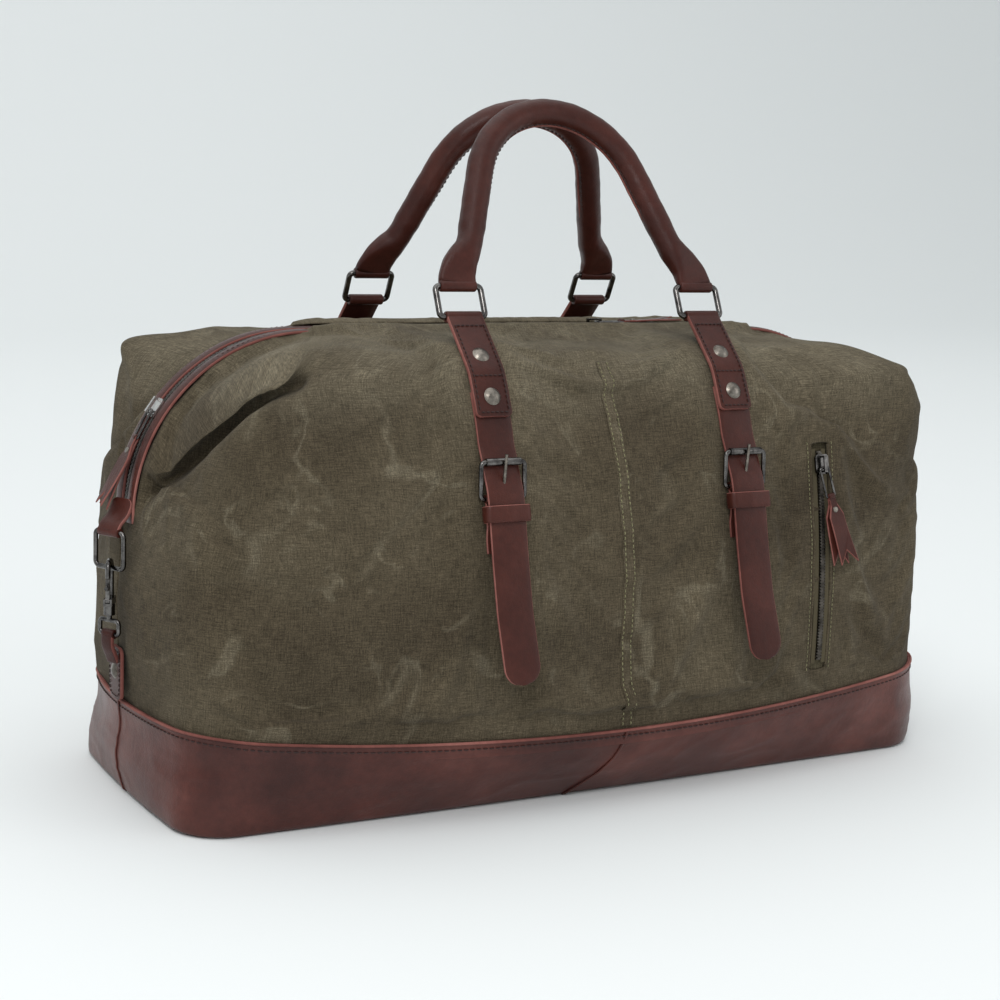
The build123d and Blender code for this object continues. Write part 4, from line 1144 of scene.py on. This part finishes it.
def pull_leathers():
    """The leather pull of each slider: two forked plies, a loop round the puller's bar and a stud."""
    pin = np.array([2.6, 0, 3.9])
    bar = 22.0
    outline = [(bar - 1.6, -2.3), (bar + 5, -2.5), (bar + 13, -6.2), (bar + 46, -7.0), (bar + 37, 0.0),
               (bar + 47, 6.6), (bar + 13, 6.0), (bar + 5, 2.5), (bar - 1.6, 2.3)]
    points, faces, kinds = [], [], []
    for low, droop, curl, yaw in ((0.15, 1.6, 1.0, 0.03), (-1.3, -1.8, -1.0, -0.05)):
        ply, ply_faces, ply_kinds = pull_ply(outline, low, 1.15, droop, curl)
        turn = np.array([[math.cos(yaw), -math.sin(yaw)], [math.sin(yaw), math.cos(yaw)]])
        ply[:, :2] = (ply[:, :2] - (bar, 0)) @ turn.T + (bar, 0)
        faces += [tuple(i + len(points) for i in face) for face in ply_faces]
        points += list(ply + (0, 0, pin[2]))
        kinds += ply_kinds
    for name, ((axes, origin), about, angle) in slider_places().items():
        turn = np.array(Matrix.Rotation(math.radians(angle), 3, about))

        def put(p):
            return ((np.asarray(p) - pin) @ turn.T + pin) @ axes.T + origin

        plies = make_object("plies", put(points), faces, LEATHER_WITH_EDGES, kinds, smooth=False)
        a, b = put([[bar, -2.3, pin[2]], [bar, 2.3, pin[2]]])
        loop = rod_mesh("loop", a, b, 2.1, [LEATHER_MAT], 16)
        a, b = put([[bar + 9, 0, pin[2] - 1.6], [bar + 9, 0, pin[2] + 2.0]])
        stud = rod_mesh("stud", a, b, 1.9, [SILVER_MAT], 16)
        leather = join(f"{name}_pull_leather_plies", [plies, loop, stud])
        finish_piece(leather, f"{name}_pull", [f"{name}_pull_leather"])


pull_leathers()


# ------------------------------------------------------------------ pocket zip
def pocket_zip():
    line, out = pocket_line(np.linspace(POCKET_HIGH, POCKET_LOW, 90), -0.9)
    row = teeth("pocket_coil_teeth", line, out, (1, 0, 0), 2.0, 2.2, 2.4)
    finish_piece(row, "bag", ["pocket_zip_teeth"])
    line, out = pocket_line(np.linspace(POCKET_HIGH + 7, POCKET_LOW - 7, 60), -4.4)
    backing = sweep("pocket_zip_backing", line, out, strap_section(9.0, 0.7, 0.0, 0.3, 7), [POCKET_TAPE_MAT])
    finish_piece(backing, "bag", [])
    lips = []
    for side, sx in (("left", -1), ("right", 1)):
        zs = np.linspace(POCKET_HIGH + 3, POCKET_LOW - 3, 80)
        rows = np.array([on_canvas(POCKET_X + sx * 7.6, z, -0.5) for z in zs])
        rows[:, 0] = POCKET_X + sx * (7.3 + 0.2 * np.sin(zs * 0.2 + sx))
        lips.append(sweep("lip", rows, (0, -1, 0), superellipse(0.9, 1.2, 2.2, 14), [CANVAS_MAT]))
        heights = np.linspace(POCKET_HIGH + 5, POCKET_LOW - 5, 80)
        seam = np.array([on_canvas(POCKET_X + sx * 10.0, z, 0.35) for z in heights])
        row = stitches(f"pocket_stitches_{side}", seam, (0, -1, 0), THREAD_MAT, 3.0, 2.1, 0.3)
        finish_piece(row, "bag", [])
    finish_piece(join("pocket_lips", lips), "bag", [])


pocket_zip()


# ------------------------------------------------------------------ canvas seams
def canvas_seams():
    heights = np.linspace(RIM_MID + 2, 274, 120)
    line = np.array([on_canvas(0.6 * math.sin(z * 0.05), z, 0.1) for z in heights])
    section = strap_section(4.4, 0.45, 0.25, 0.4, 7)
    fell = sweep("front_felled_seam", line, (0, -1, 0.2), section, [CANVAS_MAT])
    finish_piece(fell, "bag", [])
    for k, x in enumerate((-3.0, 3.0)):
        line = np.array([on_canvas(x + 0.6 * math.sin(z * 0.05), z, 0.6) for z in heights])
        row = stitches(f"front_seam_stitches_{k}", line, (0, -1, 0.2), THREAD_MAT, 3.3, 2.2, 0.42)
        finish_piece(row, "bag", [])


canvas_seams()


# ------------------------------------------------------------------ leather at the ends
def end_leather():
    """At each end: the zip end tab round its ring, and the stitched patch with its loop for the swivel."""
    local_x = np.array([math.cos(END_TURN), math.sin(END_TURN), 0])
    local_y = np.array([-math.sin(END_TURN), math.cos(END_TURN), 0])

    def world(x, y, z):
        return np.array(END_HARDWARE) + local_x * x + local_y * y + (0, 0, z)

    tab_line = np.array([
        world(x, 0, z) for x, z in ((0.3, 167.5), (-1.6, 171.5), (-6.5, 174.5), (-10, 179), (-12.5, 186))
    ])
    strip_line = np.array([world(x, 0, z) for x, z in ((0, 104.5), (0.4, 97.5), (-2.6, 92), (-4.6, 87))])
    face = np.array([[PATCH_X, PATCH_Y, z] for z in (95.0, 88, 80, 70, 62.6)])
    around = superellipse(9.2, 14.3, 2 / 0.45, 59)
    ring = np.array([[PATCH_X - 2.4, PATCH_Y + y, 78.8 + z] for y, z in [*around, around[0]]])
    for side, sx in (("left", 1), ("right", -1)):
        flip = np.array([sx, 1, 1])
        tab = strap_piece(f"end_tab_{side}", tab_line * flip, local_x * flip, 8.5, 2.4, [], 4.0)
        loop = rod_mesh("loop", world(0, -8.5, 167.5) * flip, world(0, 8.5, 167.5) * flip, 3.0, [LEATHER_MAT])
        tab = join(f"zip_end_tab_leather_{side}", [tab, loop])
        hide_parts(f"zip_end_tab_{side}")
        strip = strap_piece(f"end_loop_{side}", strip_line * flip, local_x * flip, 4.6, 2.6, [])
        loop = rod_mesh("loop", world(0, -4.6, 104.5) * flip, world(0, 4.6, 104.5) * flip, 2.9, [LEATHER_MAT])
        patch = strap_piece(f"end_patch_{side}", face * flip, (-sx, 0, 0), 11.0, 2.2, [], 5.0, True)
        patch = join(f"end_patch_leather_{side}", [patch, strip, loop])
        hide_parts(f"end_patch_{side}")
        row = stitches(f"end_patch_stitches_{side}", ring * flip, (-sx, 0, 0),
                       DARK_THREAD_MAT, 3.1, 2.2, 0.36)
        finish_piece(row, "bag", [])


end_leather()

# ------------------------------------------------------------------ finishes of the CAD nodes that stay
FINISHES = (
    ("rivet", SILVER_MAT), ("pocket_zip_tapes", POCKET_TAPE_MAT), ("tape", TAPE_MAT),
    ("end_slider", BRIGHT_MAT), ("buckle_prong", SILVER_MAT), ("", GUN_MAT),
)
for name, node in frame["nodes"].items():
    if not node.hide_render:
        node.data.materials.clear()
        node.data.materials.append(next(mat for part, mat in FINISHES if part in name))

# ------------------------------------------------------------------ floor, light and camera
profile = [(-14.0, 0.0), (3.0, 0.0)]
profile += [(3.0 + 2.5 * math.sin(a), 2.5 - 2.5 * math.cos(a)) for a in np.linspace(0.1, math.pi / 2, 12)]
profile += [(5.5, 9.0)]
cove = np.array([[x, y, z - 0.0005] for y, z in profile for x in (-16.0, 16.0)]) / MM
floor_material = Recipe("floor_pale", (0.83, 0.85, 0.85), 0.85).material
floor = make_object("floor", cove, grid_faces(len(profile), 2), [floor_material])

world = bpy.data.worlds.new("studio")
bpy.context.scene.world = world
world.use_nodes = True
world.node_tree.nodes["Background"].inputs["Color"].default_value = (0.806, 0.838, 0.847, 1)
world.node_tree.nodes["Background"].inputs["Strength"].default_value = 0.78
bpy.context.scene.view_settings.view_transform = "Standard"


def area_light(name, location, target, size, power):
    data = bpy.data.lights.new(name, "AREA")
    data.shape = "RECTANGLE"
    data.size, data.size_y = size
    data.energy = power
    obj = bpy.data.objects.new(name, data)
    bpy.context.scene.collection.objects.link(obj)
    obj.location = location
    obj.rotation_euler = (Vector(target) - Vector(location)).to_track_quat("-Z", "Y").to_euler()


area_light("overhead", (-0.4, 0.9, 4.2), (0, 0.9, 0), (6.0, 6.0), 98)
area_light("key", (-1.1, -1.6, 1.9), (0, 0, 0.15), (0.7, 0.6), 15)
area_light("strip", (-0.75, -1.35, 0.75), (0, 0, 0.22), (0.06, 1.2), 1.3)
area_light("fill", (1.6, -1.3, 0.9), (0, 0, 0.15), (1.2, 1.2), 4)

CAMERA_AZ, CAMERA_EL, CAMERA_ROLL = (math.radians(a) for a in (29.026, 9.598, 2.162))
CAMERA_DISTANCE = 1314.217
SENSOR, FOCAL_IN_SENSORS = 36, 1.953515
TARGET = np.array([-17.536, 0.219, 171.543])
level = np.array([-math.sin(CAMERA_AZ), -math.cos(CAMERA_AZ), 0])
back = level * math.cos(CAMERA_EL) + (0, 0, math.sin(CAMERA_EL))
right = np.array([math.cos(CAMERA_AZ), -math.sin(CAMERA_AZ), 0])
up = np.cross(back, right)
tilted = right * math.cos(CAMERA_ROLL) + up * math.sin(CAMERA_ROLL)
upright = np.cross(back, tilted)
camera_data = bpy.data.cameras.new("camera")
camera_data.lens = SENSOR * FOCAL_IN_SENSORS
camera_data.sensor_width = SENSOR
camera = bpy.data.objects.new("camera", camera_data)
bpy.context.scene.collection.objects.link(camera)
place = (TARGET + back * CAMERA_DISTANCE) * MM
camera.matrix_world = Matrix((
    (tilted[0], upright[0], back[0], place[0]),
    (tilted[1], upright[1], back[1], place[1]),
    (tilted[2], upright[2], back[2], place[2]),
    (0, 0, 0, 1),
))
bpy.context.scene.camera = camera
